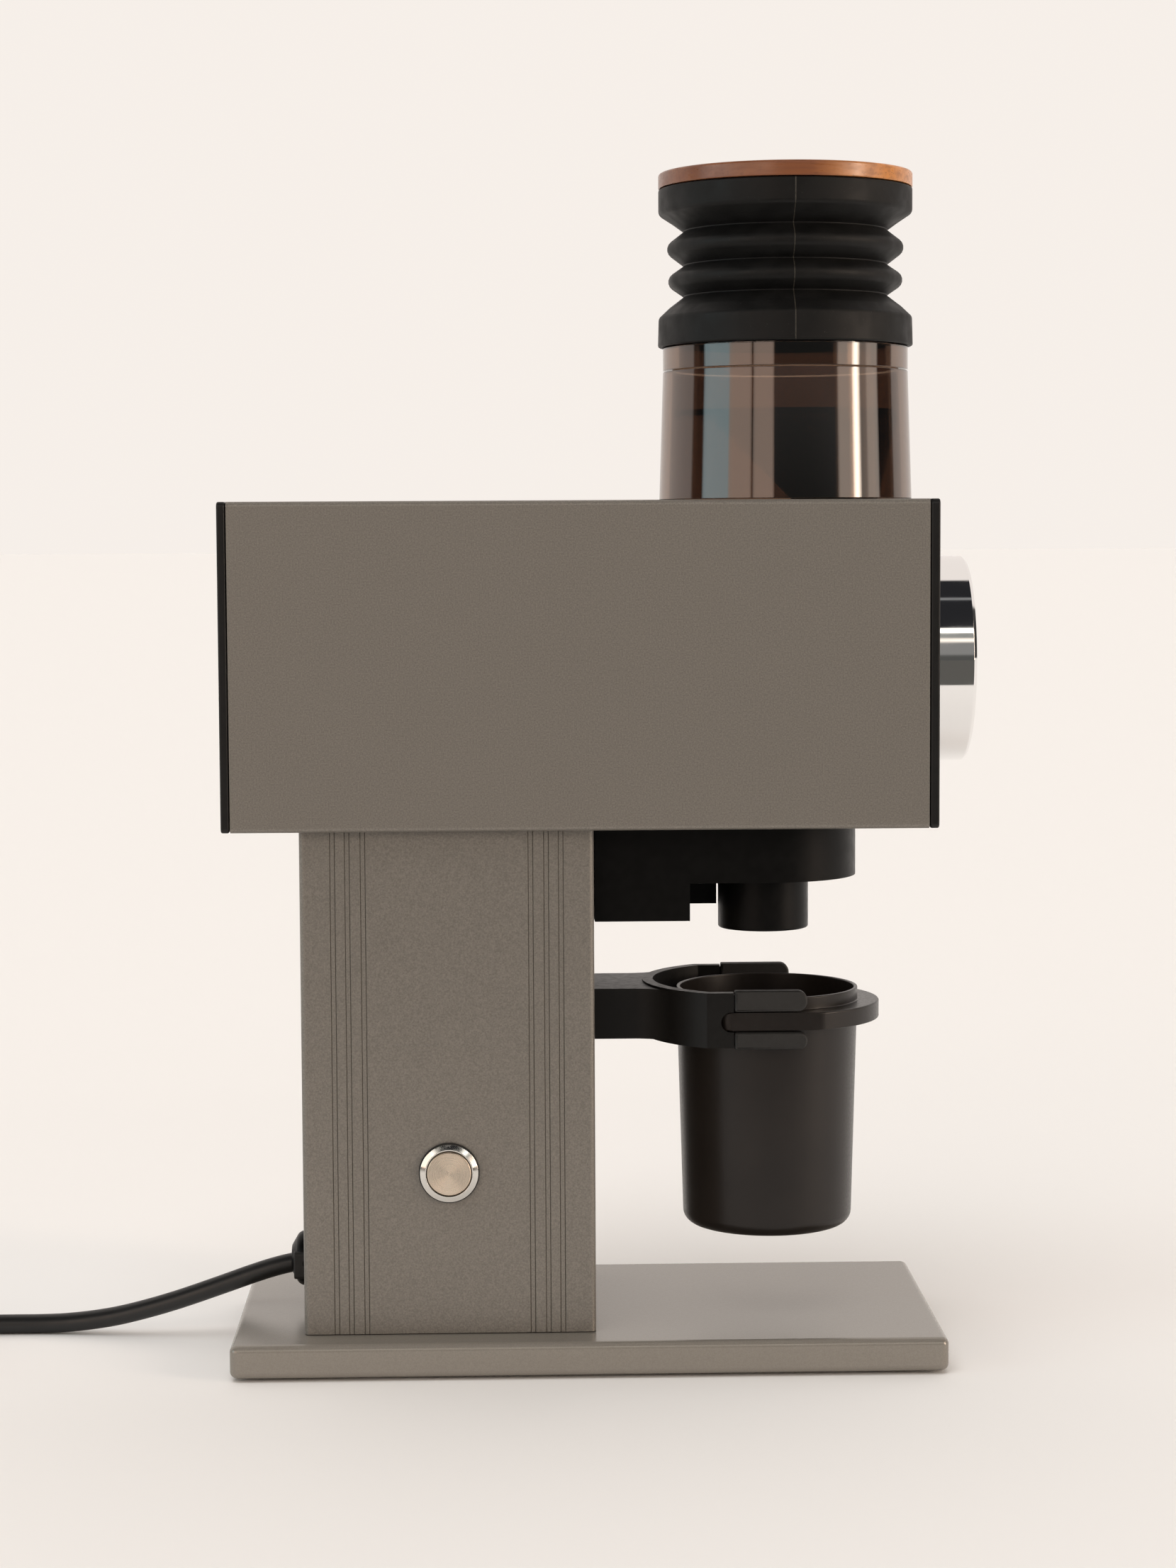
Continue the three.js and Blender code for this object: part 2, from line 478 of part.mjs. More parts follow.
function hopper() {
  const { bottomR, topR, wall, jointZ, topZ } = HOPPER;
  const z0 = HEAD_TOP + GAP;
  const wallTop = jointZ - 0.2;
  const wallTube = turned([[bottomR - wall, z0], [bottomR, z0], [topR, wallTop], [topR - wall, wallTop],
    [bottomR - wall, z0]], 'z', AT_HOPPER, 36);
  piece('hopper_tube', wallTube, SMOKY);
  const neckR = BELLOWS.bandR - BELLOWS.skin - GAP;
  const collar = turned([[topR - 5, jointZ + 0.2], [topR, jointZ + 0.2], [topR, topZ], [neckR, topZ],
    [neckR, topZ + 6], [topR - 5, topZ + 6], [topR - 5, jointZ + 0.2]], 'z', AT_HOPPER, 36);
  piece('hopper_ring', collar, SMOKY);
}

// A cone frustum that leans along X from one centre to another.
function leaningCone(lowX, lowR, lowZ, highX, highR, highZ) {
  const height = highZ - lowZ;
  const cone = new THREE.CylinderGeometry(highR, lowR, height, 28).rotateX(Math.PI / 2);
  const lean = new THREE.Matrix4().set(1, 0, (highX - lowX) / height, 0, 0, 1, 0, 0, 0, 0, 1, 0, 0, 0, 0, 1);
  return solid(cone.applyMatrix4(lean).translate((lowX + highX) / 2, 0, (lowZ + highZ) / 2));
}

function hopperFunnel() {
  const { mouthX, mouthR, mouthZ } = FUNNEL;
  const { x, radius, wall } = THROAT;
  const lowZ = HEAD_TOP + GAP;
  const shelf = rod(HOPPER.topR - HOPPER.wall - 0.2, mouthZ - 2, mouthZ, 'z', AT_HOPPER, 36);
  const outside = leaningCone(x, radius + wall, lowZ, mouthX, mouthR + wall, mouthZ - 0.01);
  const inside = leaningCone(x, radius, lowZ - 0.01, mouthX, mouthR, mouthZ + 0.01);
  const spigot = rod(radius + wall, HEAD_TOP - 6.3, lowZ + 1, 'z', [x, 0, 0], 24);
  const bore = rod(radius, HEAD_TOP - 8, lowZ + 1, 'z', [x, 0, 0], 24);
  piece('hopper_funnel', cut(join(shelf, outside, spigot), inside, bore), SMOKY);
}

function bellows() {
  const { z0, bandR, waistR, crestR, skin } = BELLOWS;
  const outside = [[bandR + 0.3, z0], [bandR, z0 + 3], [bandR, BELLOWS_FOLDS[0]]];
  BELLOWS_FOLDS.slice(1, -1).forEach((z, i) => {
    const radius = i % 2 === 0 ? waistR : crestR;
    outside.push([radius, z]);
  });
  outside.push([bandR, BELLOWS_FOLDS.at(-1)], [bandR, LID.z0 - GAP]);
  const [wide, narrow] = [bandR - skin, waistR - skin];
  const inside = [[wide, LID.z0 - GAP], [wide, BELLOWS_FOLDS.at(-1) + 1], [narrow, BELLOWS_FOLDS.at(-2)],
    [narrow, BELLOWS_FOLDS[1]], [wide, BELLOWS_FOLDS[0] - 1], [wide, z0]];
  piece('bellows', turned([...outside, ...inside, outside[0]], 'z', AT_HOPPER, 36), BLACK_RUBBER);
}

function lid() {
  const { z0, top, plug: plugLong, radius } = LID;
  const plugR = BELLOWS.bandR - BELLOWS.skin - 0.4;
  const profile = [[0, z0 - plugLong], [plugR, z0 - plugLong], [plugR, z0], [radius, z0],
    [radius, top - 0.7], [radius - 0.7, top], [0, top]];
  piece('wood_lid', turned(profile, 'z', AT_HOPPER, 36), WOOD);
}

// ---------------------------------------------------------------- chute and fork

function chute() {
  const { frontX, halfWidth, z0, lowZ, nearX, farX } = HOUSING;
  const rearX = COLUMN_FRONT + 0.5;
  const plan = new THREE.Shape();
  plan.moveTo(rearX, -halfWidth);
  plan.absarc(frontX, 0, halfWidth, -Math.PI / 2, Math.PI / 2);
  plan.lineTo(rearX, halfWidth);
  plan.closePath();
  const upper = solid(raised(plan, z0, HEAD.z0 - GAP, 0, 12));
  const nearBlock = block(rearX, nearX, -halfWidth, 18, lowZ, z0 + 1);
  const farBlock = block(rearX, farX, 17, halfWidth, lowZ, z0 + 1);
  const bore = rod(CHUTE.boreR, z0 - 20, HEAD.z0 + 5, 'z', [CHUTE.x, 0, 0], 24);
  piece('chute_housing', cut(join(upper, nearBlock, farBlock), bore), BLACK_PLASTIC);
  const { spoutR, wall, bottomZ, x } = CHUTE;
  const spout = turned([[spoutR - wall, bottomZ], [spoutR - 0.8, bottomZ], [spoutR, bottomZ + 0.8],
    [spoutR, z0 - GAP], [spoutR - wall, z0 - GAP], [spoutR - wall, bottomZ]], 'z', [x, 0, 0], 36);
  piece('chute_spout', spout, BLACK_PLASTIC);
}

const forkScrewSpots = () => [-9, 9].map((y) => [y, (FORK_BAR.z0 + FORK_BAR.z1) / 2]);

function forkPlan(radius, flatY, frontX) {
  const reach = Math.sqrt(radius * radius - flatY * flatY);
  const angle = Math.atan2(flatY, -reach);
  const shape = new THREE.Shape();
  shape.moveTo(frontX, flatY);
  shape.lineTo(CUP_X - reach, flatY);
  shape.absarc(CUP_X, 0, radius, angle, 2 * Math.PI - angle);
  shape.lineTo(frontX, -flatY);
  shape.closePath();
  return shape;
}

// The bar runs from the column to the ring and spreads into it with a hollow fillet on both sides.
function barPlan() {
  const { halfWidth, filletR } = FORK_BAR;
  const centreY = halfWidth + filletR;
  const centreX = CUP_X - Math.sqrt((FORK.outerR + filletR) ** 2 - centreY ** 2);
  const sweep = Math.atan2(-centreY, CUP_X - centreX);
  const shape = new THREE.Shape();
  shape.moveTo(COLUMN_FRONT + GAP, -halfWidth);
  shape.absarc(centreX, -centreY, filletR, Math.PI / 2, -sweep, true);
  shape.lineTo(CUP_X, 0);
  shape.absarc(centreX, centreY, filletR, sweep, -Math.PI / 2, true);
  shape.lineTo(COLUMN_FRONT + GAP, halfWidth);
  shape.closePath();
  return shape;
}

function cupFork() {
  const { outerR, innerR, outerY, innerY, tipX, z0, z1 } = FORK;
  const ringBody = solid(raised(forkPlan(outerR, outerY, tipX), z0, z1, 0.5, 14));
  const bar = solid(raised(barPlan(), FORK_BAR.z0, FORK_BAR.z1, 0, 5));
  const opening = solid(raised(forkPlan(innerR, innerY, tipX + 20), z0 - 5, z1 + 5, 0, 14));
  const recess = rod(innerR, SLOT.z0, SLOT.z1, 'z', [CUP_X, 0, 0], 48);
  const slotHeight = (SLOT.z1 - SLOT.z0) / 2;
  const midZ = SLOT.z0 + slotHeight;
  const slot = join(block(SLOT.endX, tipX + 20, -50, 50, SLOT.z0, SLOT.z1),
    rod(slotHeight, -50, 50, 'y', [SLOT.endX, 0, midZ], 20));
  const screwHoles = forkScrewSpots().map(([y, z]) =>
    rod(2 + GAP, COLUMN_FRONT, COLUMN_FRONT + 12, 'x', [0, y, z], 12));
  // Under the grips the prongs are thinner all round, so that the grips lie nearly flush.
  const trims = [];
  [-1, 1].forEach((side) => {
    const [a, b] = [side * (innerY + 0.9), side * (outerY - 0.9)];
    const [inner, outer] = side < 0 ? [b, a] : [a, b];
    const [y0, y1] = side < 0 ? [-45, -20] : [20, 45];
    const skirt = block(GRIP.x0 - GAP, tipX + 20, y0, y1, 90, 125);
    const upper = block(GRIP.x0 - 1, tipX - 1.5, inner, outer, SLOT.z1 + 0.9 + GAP, z1 - 0.7);
    const lower = block(GRIP.x0 - 1, tipX - 1.5, inner, outer, z0 + 0.7, SLOT.z0 - 0.9 - GAP);
    trims.push(cut(skirt, upper, lower));
  });
  piece('cup_fork', cut(join(ringBody, bar), opening, recess, slot, ...screwHoles, ...trims), BLACK_METAL);
  forkScrewSpots().forEach(([y, z], i) => {
    const place = [COLUMN_FRONT - COLUMN.wall - GAP - 3, y, z];
    piece(`fork_screw_${['near', 'far'][i]}`, screw(3.8, 3, 2, 16, 'x', place), STEEL);
  });
}

// A soft sleeve over one prong: closed and rounded at the tip, open towards the column.
function forkGrips() {
  const { x0, x1, outerY, innerY, proud } = GRIP;
  const levels = {
    upper: [SLOT.z1 + 0.1, FORK.z1 + proud, SLOT.z1 + 0.9, FORK.z1 - 0.4],
    lower: [FORK.z0 - proud, SLOT.z0 - 0.1, FORK.z0 + 0.4, SLOT.z0 - 0.9],
  };
  Object.entries(levels).forEach(([level, [low, high, coreLow, coreHigh]]) => {
    [['near', -1], ['far', 1]].forEach(([side, sign]) => {
      const radius = (high - low) * 0.45;
      const outline = new THREE.Shape();
      outline.moveTo(x0, low);
      outline.absarc(x1 - radius, low + radius, radius, -Math.PI / 2, 0);
      outline.absarc(x1 - radius, high - radius, radius, 0, Math.PI / 2);
      outline.lineTo(x0, high);
      outline.closePath();
      const outside = raised(outline, 0, outerY - innerY, 0.3, 4).rotateX(Math.PI / 2);
      const body = solid(outside.translate(0, sign > 0 ? outerY : -innerY, 0));
      const [a, b] = [sign * (FORK.innerY + 0.6), sign * (FORK.outerY - 0.6)];
      const core = block(x0 - 1, FORK.tipX - 1.2, Math.min(a, b), Math.max(a, b), coreLow, coreHigh);
      piece(`fork_grip_${level}_${side}`, cut(body, core), SOFT_GRIP);
    });
  });
}

function dosingCup() {
  const { z0, rimZ, rimR, bottomR, corner, wall } = CUP;
  const arc = [0, 1, 2, 3].map((i) => {
    const angle = (Math.PI / 2) * (i / 3);
    return [bottomR - corner + corner * Math.sin(angle), z0 + corner - corner * Math.cos(angle)];
  });
  const profile = [[0, z0], ...arc, [rimR, FLANGE.z0], [FLANGE.radius, FLANGE.z0],
    [FLANGE.radius, FLANGE.z1], [rimR, FLANGE.z1], [rimR, rimZ - 0.3], [rimR - 0.3, rimZ],
    [rimR - wall, rimZ],
    [bottomR - wall, z0 + corner + 1], [bottomR - wall - 3, z0 + 2], [0, z0 + 2]];
  const cup = turned(profile, 'z', [CUP_X, 0, 0], 40);
  const flats = block(CUP_X - 60, CUP_X + 60, -FLANGE.flatY, FLANGE.flatY, 0, 200);
  piece('dosing_cup', cup.intersect(flats), SATIN_CUP);
}

// ---------------------------------------------------------------- electrics, cord, plug

function controlBoard() {
  const y = 16;
  const plate = block(-84, -14, y, y + 1.8, 62, 150);
  const parts = [block(-78, -58, y - 14, y + 0.5, 120, 142), block(-50, -20, y - 18, y + 0.5, 70, 92),
    rod(8, y - 24, y + 0.5, 'y', [-68, 0, 100], 24), rod(6, y - 18, y + 0.5, 'y', [-30, 0, 132], 24),
    block(-52, -42, y - 8, y + 0.5, 106, 142)];
  piece('control_board', join(plate, ...parts), BOARD);
}

function gland() {
  const { z, x, radius } = GLAND;
  const wallX = COLUMN.x0 - GAP;
  const profile = [[0, x], [4.6, x]];
  for (let i = 1; i <= 4; i += 1) {
    const angle = (Math.PI / 2) * (i / 4);
    profile.push([4.6 + (radius - 4.6) * Math.sin(angle), x + 3.6 * (1 - Math.cos(angle))]);
  }
  profile.push([radius, wallX], [6.3, wallX], [6.3, COLUMN.x0 + 9], [0, COLUMN.x0 + 9]);
  const key = block(x + 1.3, wallX, -radius, radius, z - 5.2, z + 3.6);
  piece('cable_gland', join(turned(profile, 'x', [0, 0, z], 32), key), BLACK_PLASTIC);
}

function cord() {
  piece('power_cord', tube(CORD_ROUTE, CORD_D, 10, 2.4 * CORD_D), BLACK_RUBBER);
  piece('plug_lead', tube(PLUG_ROUTE, CORD_D, 10, 2 * CORD_D), BLACK_RUBBER);
  const { x, y, turnOuterR, turnInnerR, height } = COIL;
  const [outer, inner] = [turnOuterR + CORD_D / 2, turnInnerR - CORD_D / 2];
  const tieTurn = -Math.PI / 4;
  const middle = (outer + inner) / 2;
  const tieBox = () => {
    const geometry = new THREE.BoxGeometry(outer - inner + 3, 9, height + 2);
    return solid(geometry.translate(middle, 0, height / 2 + 1).rotateZ(tieTurn).translate(x, y, 0));
  };
  const tieHole = () => {
    const geometry = new THREE.BoxGeometry(outer - inner + 1, 30, height - 0.8);
    return solid(geometry.translate(middle, 0, height / 2 + 0.9).rotateZ(tieTurn).translate(x, y, 0));
  };
  const strap = cut(tieBox(), tieHole());
  const coil = ring(outer, inner, 0, height, 'z', [x, y, 0], 40);
  const underTie = new THREE.BoxGeometry(outer - inner + 8, 9.8, 2.6).translate(middle, 0, 0);
  piece('cord_coil', cut(coil, solid(underTie.rotateZ(tieTurn).translate(x, y, 0))), BLACK_RUBBER);
  piece('cord_tie', strap, BLACK_RUBBER);
}

function plug() {
  const { x, axisZ, rearY, reliefLength, bodyLength, pinLength } = PLUG;
  const reliefEnd = rearY - reliefLength;
  const bodyEnd = reliefEnd - bodyLength;
  const reliefLine = [[0, reliefEnd - 2], [6.5, reliefEnd - 2], [6.5, reliefEnd], [4.2, rearY], [0, rearY]];
  const relief = turned(reliefLine, 'y', [x, 0, axisZ], 24);
  const outline = roundedOutline(24, 19.8, 5);
  const body = raised(outline, 0, bodyLength, 1.6, 4).rotateX(Math.PI / 2).translate(x, reliefEnd, axisZ);
  const blades = [-6.35, 6.35].map((dx) =>
    block(x + dx - 0.8, x + dx + 0.8, bodyEnd - pinLength, bodyEnd + 3, axisZ - 0.8, axisZ + 5.5));
  const earth = rod(2.4, bodyEnd - pinLength - 2, bodyEnd + 3, 'y', [x, 0, axisZ - 5], 20);
  piece('mains_plug', join(relief, solid(body), ...blades, earth), BLACK_PLASTIC);
}

// ---------------------------------------------------------------- the grinder

basePlate();
feetAndBaseScrews();
columnTube();
headBolts();
pushButton();
headTube();
covers();
motor();
grindingChamber();
rotor();
burrCarrier();
dial();
hopper();
hopperFunnel();
bellows();
lid();
chute();
cupFork();
forkGrips();
dosingCup();
controlBoard();
gland();
cord();
plug();

export default model;
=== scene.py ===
"""Looks of the burr coffee grinder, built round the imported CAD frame. Metres, +X front, +Z up."""
import json
import math

import bmesh
import bpy
from mathutils import Matrix, Vector


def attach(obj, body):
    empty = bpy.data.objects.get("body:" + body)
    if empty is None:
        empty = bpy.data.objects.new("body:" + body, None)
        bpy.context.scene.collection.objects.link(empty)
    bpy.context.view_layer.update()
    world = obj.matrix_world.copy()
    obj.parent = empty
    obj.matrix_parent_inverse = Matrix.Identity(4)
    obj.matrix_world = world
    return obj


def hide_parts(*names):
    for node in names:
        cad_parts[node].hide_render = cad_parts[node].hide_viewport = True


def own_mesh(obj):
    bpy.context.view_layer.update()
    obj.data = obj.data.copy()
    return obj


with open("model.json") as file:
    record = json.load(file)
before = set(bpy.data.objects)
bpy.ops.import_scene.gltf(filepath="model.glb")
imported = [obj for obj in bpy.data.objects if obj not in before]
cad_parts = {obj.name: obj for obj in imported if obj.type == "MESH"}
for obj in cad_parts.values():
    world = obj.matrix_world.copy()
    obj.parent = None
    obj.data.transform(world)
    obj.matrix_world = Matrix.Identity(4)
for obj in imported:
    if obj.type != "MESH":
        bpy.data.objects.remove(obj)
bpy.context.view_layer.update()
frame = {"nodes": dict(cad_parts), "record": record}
MM = 0.001
scene = bpy.context.scene

# ---------------------------------------------------------------- sizes in millimetres, as in part.mjs

GRINDER_LENGTH = 232.7
REAR, FRONT = -GRINDER_LENGTH / 2, GRINDER_LENGTH / 2
BASE = {"x0": REAR + 1, "length": 221, "depth": 105.8, "z0": 1.0, "z1": 11.4, "edge": 2.2, "corner": 2.6}
FOOT_INSET = 15
COLUMN = {"x0": REAR + 23.3, "length": 90.4, "depth": 80.4, "wall": 3, "corner": 1.8}
GROOVES = {"offsets": (10.2, 14.7, 19.5), "width": 1.45, "deep": 0.36, "floor": 0.1, "notch": 0.16}
COLUMN_MID = COLUMN["x0"] + COLUMN["length"] / 2
COLUMN_FRONT = COLUMN["x0"] + COLUMN["length"]
HEAD = {"z0": 168.1, "height": 100.6, "depth": 90, "wall": 3, "corner": 1.6}
HEAD_TOP = HEAD["z0"] + HEAD["height"]
SHAFT_Z = HEAD["z0"] + HEAD["height"] / 2
COVER_THICK, PANEL_THICK, PANEL_FRONT = 2.6, 2.8, FRONT - 13.3
COVER_SCREW = {"dy": 38.5, "dz": 43.8, "head_r": 3.35, "head_long": 1.15, "shank_r": 1.7, "length": 11}
BASE_SCREW = {"dx": 36.7, "dy": 31.0, "z": 2.0, "head_r": 5, "head_long": 3, "shank_r": 2.2, "length": 24}
INSIDE_CORNER = 1.0
GAP = 0.3  # between neighbouring pieces
THROAT = {"x": 75.5, "radius": 11.8, "wall": 2.0, "bottom": 262.4}
PORT_R = 14.4  # the round openings in the head, over and under the chamber
DIAL = {"radius": 32.45, "chamfer": 1.0, "face_r": 31.5, "face_thick": 6, "hub_r": 12.3}
HOPPER_X = 59.7
CHUTE_X = 52.55
CUP_X = 53.75
CUP_FLAT = 32.7
FORK_R = 40
SEAM, SEAM_X = math.radians(-90.5), 59.4  # the bellows' parting line, towards the near side
RIDGE = {"high": 0.14, "half_angle": 0.006, "from_radius": 31.5}  # of the seam, outside only
BUTTON = (COLUMN_MID, 62.1)
GLAND_Z, GLAND_X, GLAND_R = 26.7, COLUMN["x0"] - 6.2, 8.75

CORD_D = 6.2
COIL = (-255, -30.2)  # x and y of its middle
COIL_OUTER, COIL_INNER = 42.2, 29.8
COIL_START, COIL_DOWN, COIL_UP, COIL_END, COIL_STEP = 90, 810, 900, 1500, 15  # degrees along the coil
TIE_HALF = 4.5
TIE_ANGLE, TIE_REACH, TIE_LIFT = 315, 40, 0.5  # degrees, and how far the cord rises over the strap
PLUG_X, PLUG_Z, PLUG_REAR = -313.3, 10, -7
PLUG = {"relief": 22, "ribs": 6, "body": 26, "blade": 17, "pin": 19, "root": 3, "spread": 6.35, "drop": 5}
CORD_ROUTE = [
    (-96, 0, 25.6), (-99.3, 0, 25.2), (-105, 0.2, 23.8), (-112, 0.8, 21.5), (-120, 1.8, 18.5),
    (-128.3, 3, 15.4), (-136, 4.2, 12.6), (-143.5, 5.6, 10.1), (-150.8, 7, 7.9), (-158, 8.6, 6.0),
    (-166, 10.1, 4.5), (-174, 11.3, 3.5), (-182, 11.9, 3.12), (-190, 12, 3.1), (-204, 12, 3.1),
    (-218, 12, 3.1), (-231.6, 12, 3.1), (-244, 12, 3.1),
]
PLUG_ROUTE = [
    (-259.6, 18.7, 8.6), (-264.5, 21.5, 7.8), (-270, 24.5, 6.6), (-276.5, 26.9, 5.2), (-284, 28, 4.2),
    (-292, 26.8, 3.7), (-299.5, 23.2, 4.0), (-305.5, 17.6, 5.2), (-309.8, 11, 7.0), (-312.3, 4.2, 8.8),
    (-313.2, -1, 9.7), (-313.3, -6.7, 10), (-313.3, -12, 10),
]
WELD_M = 1e-7  # vertices nearer than this are one
ON_AXIS = 1e-6  # a turned profile's point nearer than this lies on the axis

# the camera that the photo's edges and circles gave: metres, radians, millimetres
CAMERA = {"place": (-0.03025, -1.00592, 0.25931), "yaw": 0.0268, "pitch": 0.0797, "roll": -0.0052,
          "sensor": 36, "lens": 72.69}
# name, turn about Z and tilt (degrees), power, spread (degrees)
SUNS = (("key", -35, 20, 1.38, 50), ("fill", 150, 38, 0.25, 70))

# ---------------------------------------------------------------- camera


def make_camera():
    yaw, pitch, roll = CAMERA["yaw"], CAMERA["pitch"], CAMERA["roll"]
    painted_highlight_x = Vector((math.sin(yaw) * math.cos(pitch), math.cos(yaw) * math.cos(pitch), -math.sin(pitch)))
    level = Vector((math.cos(yaw), -math.sin(yaw), 0))
    up = level.cross(painted_highlight_x)
    right = math.cos(roll) * level + math.sin(roll) * up
    top = -math.sin(roll) * level + math.cos(roll) * up
    data = bpy.data.cameras.new("camera")
    data.sensor_width = CAMERA["sensor"]
    data.lens = CAMERA["lens"]
    data.clip_start, data.clip_end = 0.05, 50
    cam = bpy.data.objects.new("camera", data)
    scene.collection.objects.link(cam)
    turn = Matrix((right, top, -painted_highlight_x)).transposed().to_4x4()
    cam.matrix_world = Matrix.Translation(CAMERA["place"]) @ turn
    scene.camera = cam


# ---------------------------------------------------------------- mesh helpers


def rounded(points, closed=False, steps=5):
    """The line through points (a, b) or (a, b, radius), with an arc at each corner that has a radius."""
    out = []
    count = len(points)
    for i, point in enumerate(points):
        radius = point[2] if len(point) > 2 else 0
        if radius <= 0 or (not closed and i in (0, count - 1)):
            out.append((point[0], point[1]))
            continue
        here = Vector(point[:2])
        to_last = Vector(points[i - 1][:2]) - here
        to_next = Vector(points[(i + 1) % count][:2]) - here
        angle = to_last.angle(to_next)
        reach = min(radius / math.tan(angle / 2), 0.49 * to_last.length, 0.49 * to_next.length)
        radius = reach * math.tan(angle / 2)
        u, v = to_last.normalized(), to_next.normalized()
        centre = here + (u + v).normalized() * radius / math.sin(angle / 2)
        start, end = here + u * reach - centre, here + v * reach - centre
        first = math.atan2(start.y, start.x)
        sweep = (math.atan2(end.y, end.x) - first + math.pi) % (2 * math.pi) - math.pi
        for k in range(steps + 1):
            t = first + sweep * k / steps
            out.append((centre.x + radius * math.cos(t), centre.y + radius * math.sin(t)))
    return out


def even_normals(mesh, sharp):
    """Shades each corner by the large faces round it, so that flats stay flat beside rounded edges."""
    limit = math.cos(math.radians(sharp))
    round_vertex = [[] for _ in mesh.vertices]
    for face in mesh.polygons:
        weighed = (face.normal.copy(), face.area)
        for vertex in face.vertices:
            round_vertex[vertex].append(weighed)
    normals = []
    for face in mesh.polygons:
        own = face.normal.copy()
        for vertex in face.vertices:
            total = Vector()
            for normal, area in round_vertex[vertex]:
                if own.dot(normal) > limit:
                    total += normal * area
            normals.append(total.normalized())
    mesh.normals_split_custom_set(normals)


def weld(mesh):
    """Merges a mesh's double vertices and turns its faces outwards."""
    bm = bmesh.new()
    bm.from_mesh(mesh)
    bmesh.ops.remove_doubles(bm, verts=bm.verts, dist=WELD_M)
    bmesh.ops.recalc_face_normals(bm, faces=bm.faces)
    bm.to_mesh(mesh)
    bm.free()


def evaluated(obj):
    """The mesh that an object shows, with its modifiers or curve settings applied."""
    bpy.context.view_layer.update()
    return bpy.data.meshes.new_from_object(obj.evaluated_get(bpy.context.evaluated_depsgraph_get()))


def put(name, mesh, body, slot, stands_for=(), look=None, sharp=32):
    """A new piece from a mesh in metres in the row frame. Its look is its slot's, unless one is named."""
    weld(mesh)
    mesh.shade_smooth()
    mesh.set_sharp_from_angle(angle=math.radians(sharp))
    even_normals(mesh, sharp)
    obj = bpy.data.objects.new(name, mesh)
    scene.collection.objects.link(obj)
    mesh.materials.clear()
    mesh.materials.append(LOOK[look or slot])
    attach(obj, body)
    if stands_for:
        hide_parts(*stands_for)
    return obj


# turns a lathe's or slab's Z axis onto this axis
ONTO = {
    "x": Matrix(((0, 0, 1, 0), (1, 0, 0, 0), (0, 1, 0, 0), (0, 0, 0, 1))),
    "y": Matrix(((1, 0, 0, 0), (0, 0, 1, 0), (0, -1, 0, 0), (0, 0, 0, 1))),
    "z": Matrix.Identity(4),
}


def lathe(profile, axis="z", place=(0, 0, 0), segments=96, angles=None, bulge=None, shape=None):
    """A turned mesh: profile is [(radius, height)] in mm about an axis through place."""
    if angles is None:
        angles = [2 * math.pi * k / segments for k in range(segments)]
    segments = len(angles)
    closed = profile[0] == profile[-1]
    rows = []
    verts = []
    for radius, height in profile[:-1] if closed else profile:
        if radius < ON_AXIS:
            rows.append([len(verts)] * segments)
            verts.append(Vector((0, 0, height)))
            continue
        rows.append(list(range(len(verts), len(verts) + segments)))
        for t in angles:
            r = radius + (bulge(t, radius, height) if bulge else 0)
            verts.append(Vector((r * math.cos(t), r * math.sin(t), height)))
    if closed:
        rows.append(rows[0])
    faces = []
    for low, high in zip(rows, rows[1:]):
        for k in range(segments):
            n = (k + 1) % segments
            ring = [low[k], low[n], high[n], high[k]]
            face = [v for i, v in enumerate(ring) if v not in ring[:i]]
            if len(face) > 2:
                faces.append(face)
    turn = Matrix.Translation(Vector(place)) @ ONTO[axis]
    points = [turn @ v for v in verts]
    if shape:
        points = [shape(p) for p in points]
    mesh = bpy.data.meshes.new("lathe")
    mesh.from_pydata([tuple(p * MM) for p in points], [], faces)
    return mesh


def slab(outline, low, high, axis="z", place=(0, 0, 0), bevel=0.0, holes=(), steps=3):
    """An outline in mm raised along an axis, its rims rounded by bevel."""
    data = bpy.data.curves.new("slab", "CURVE")
    data.dimensions = "2D"
    data.fill_mode = "BOTH"
    data.extrude = (high - low) / 2 - bevel
    data.bevel_depth = bevel
    data.bevel_resolution = steps
    data.offset = -bevel
    for line in (outline, *holes):
        spline = data.splines.new("POLY")
        spline.points.add(len(line) - 1)
        spline.points.foreach_set("co", [c for a, b in line for c in (a, b, 0, 1)])
        spline.use_cyclic_u = True
    obj = bpy.data.objects.new("slab", data)
    scene.collection.objects.link(obj)
    mesh = evaluated(obj)
    bpy.data.objects.remove(obj)
    bpy.data.curves.remove(data)
    turn = {"x": ONTO["x"], "y": Matrix.Rotation(math.pi / 2, 4, "X"), "z": ONTO["z"]}[axis]
    middle = (low + high) / 2 if axis != "y" else -(low + high) / 2
    lift = Matrix.Translation((0, 0, middle))
    mesh.transform(Matrix.Scale(MM, 4) @ Matrix.Translation(Vector(place)) @ turn @ lift)
    return mesh


def merge(first, *others, how="UNION"):
    """Meshes joined, or the others cut from the first, with exact booleans."""
    base = bpy.data.objects.new("base", first)
    scene.collection.objects.link(base)
    tools = []
    for mesh in [first, *others]:
        weld(mesh)
    for mesh in others:
        tool = bpy.data.objects.new("tool", mesh)
        scene.collection.objects.link(tool)
        tools.append(tool)
        modifier = base.modifiers.new("boolean", "BOOLEAN")
        modifier.operation = how
        modifier.solver = "EXACT"
        modifier.object = tool
    mesh = evaluated(base)
    for obj in [base, *tools]:
        bpy.data.objects.remove(obj)
    return mesh


def softened(mesh, width, segments, angle=40):
    """The mesh with its edges that turn by more than angle (degrees) rounded by width (mm)."""
    obj = bpy.data.objects.new("soft", mesh)
    scene.collection.objects.link(obj)
    modifier = obj.modifiers.new("bevel", "BEVEL")
    modifier.width = width * MM
    modifier.segments = segments
    modifier.limit_method = "ANGLE"
    modifier.angle_limit = math.radians(angle)
    modifier.use_clamp_overlap = True
    made = evaluated(obj)
    bpy.data.objects.remove(obj)
    return made


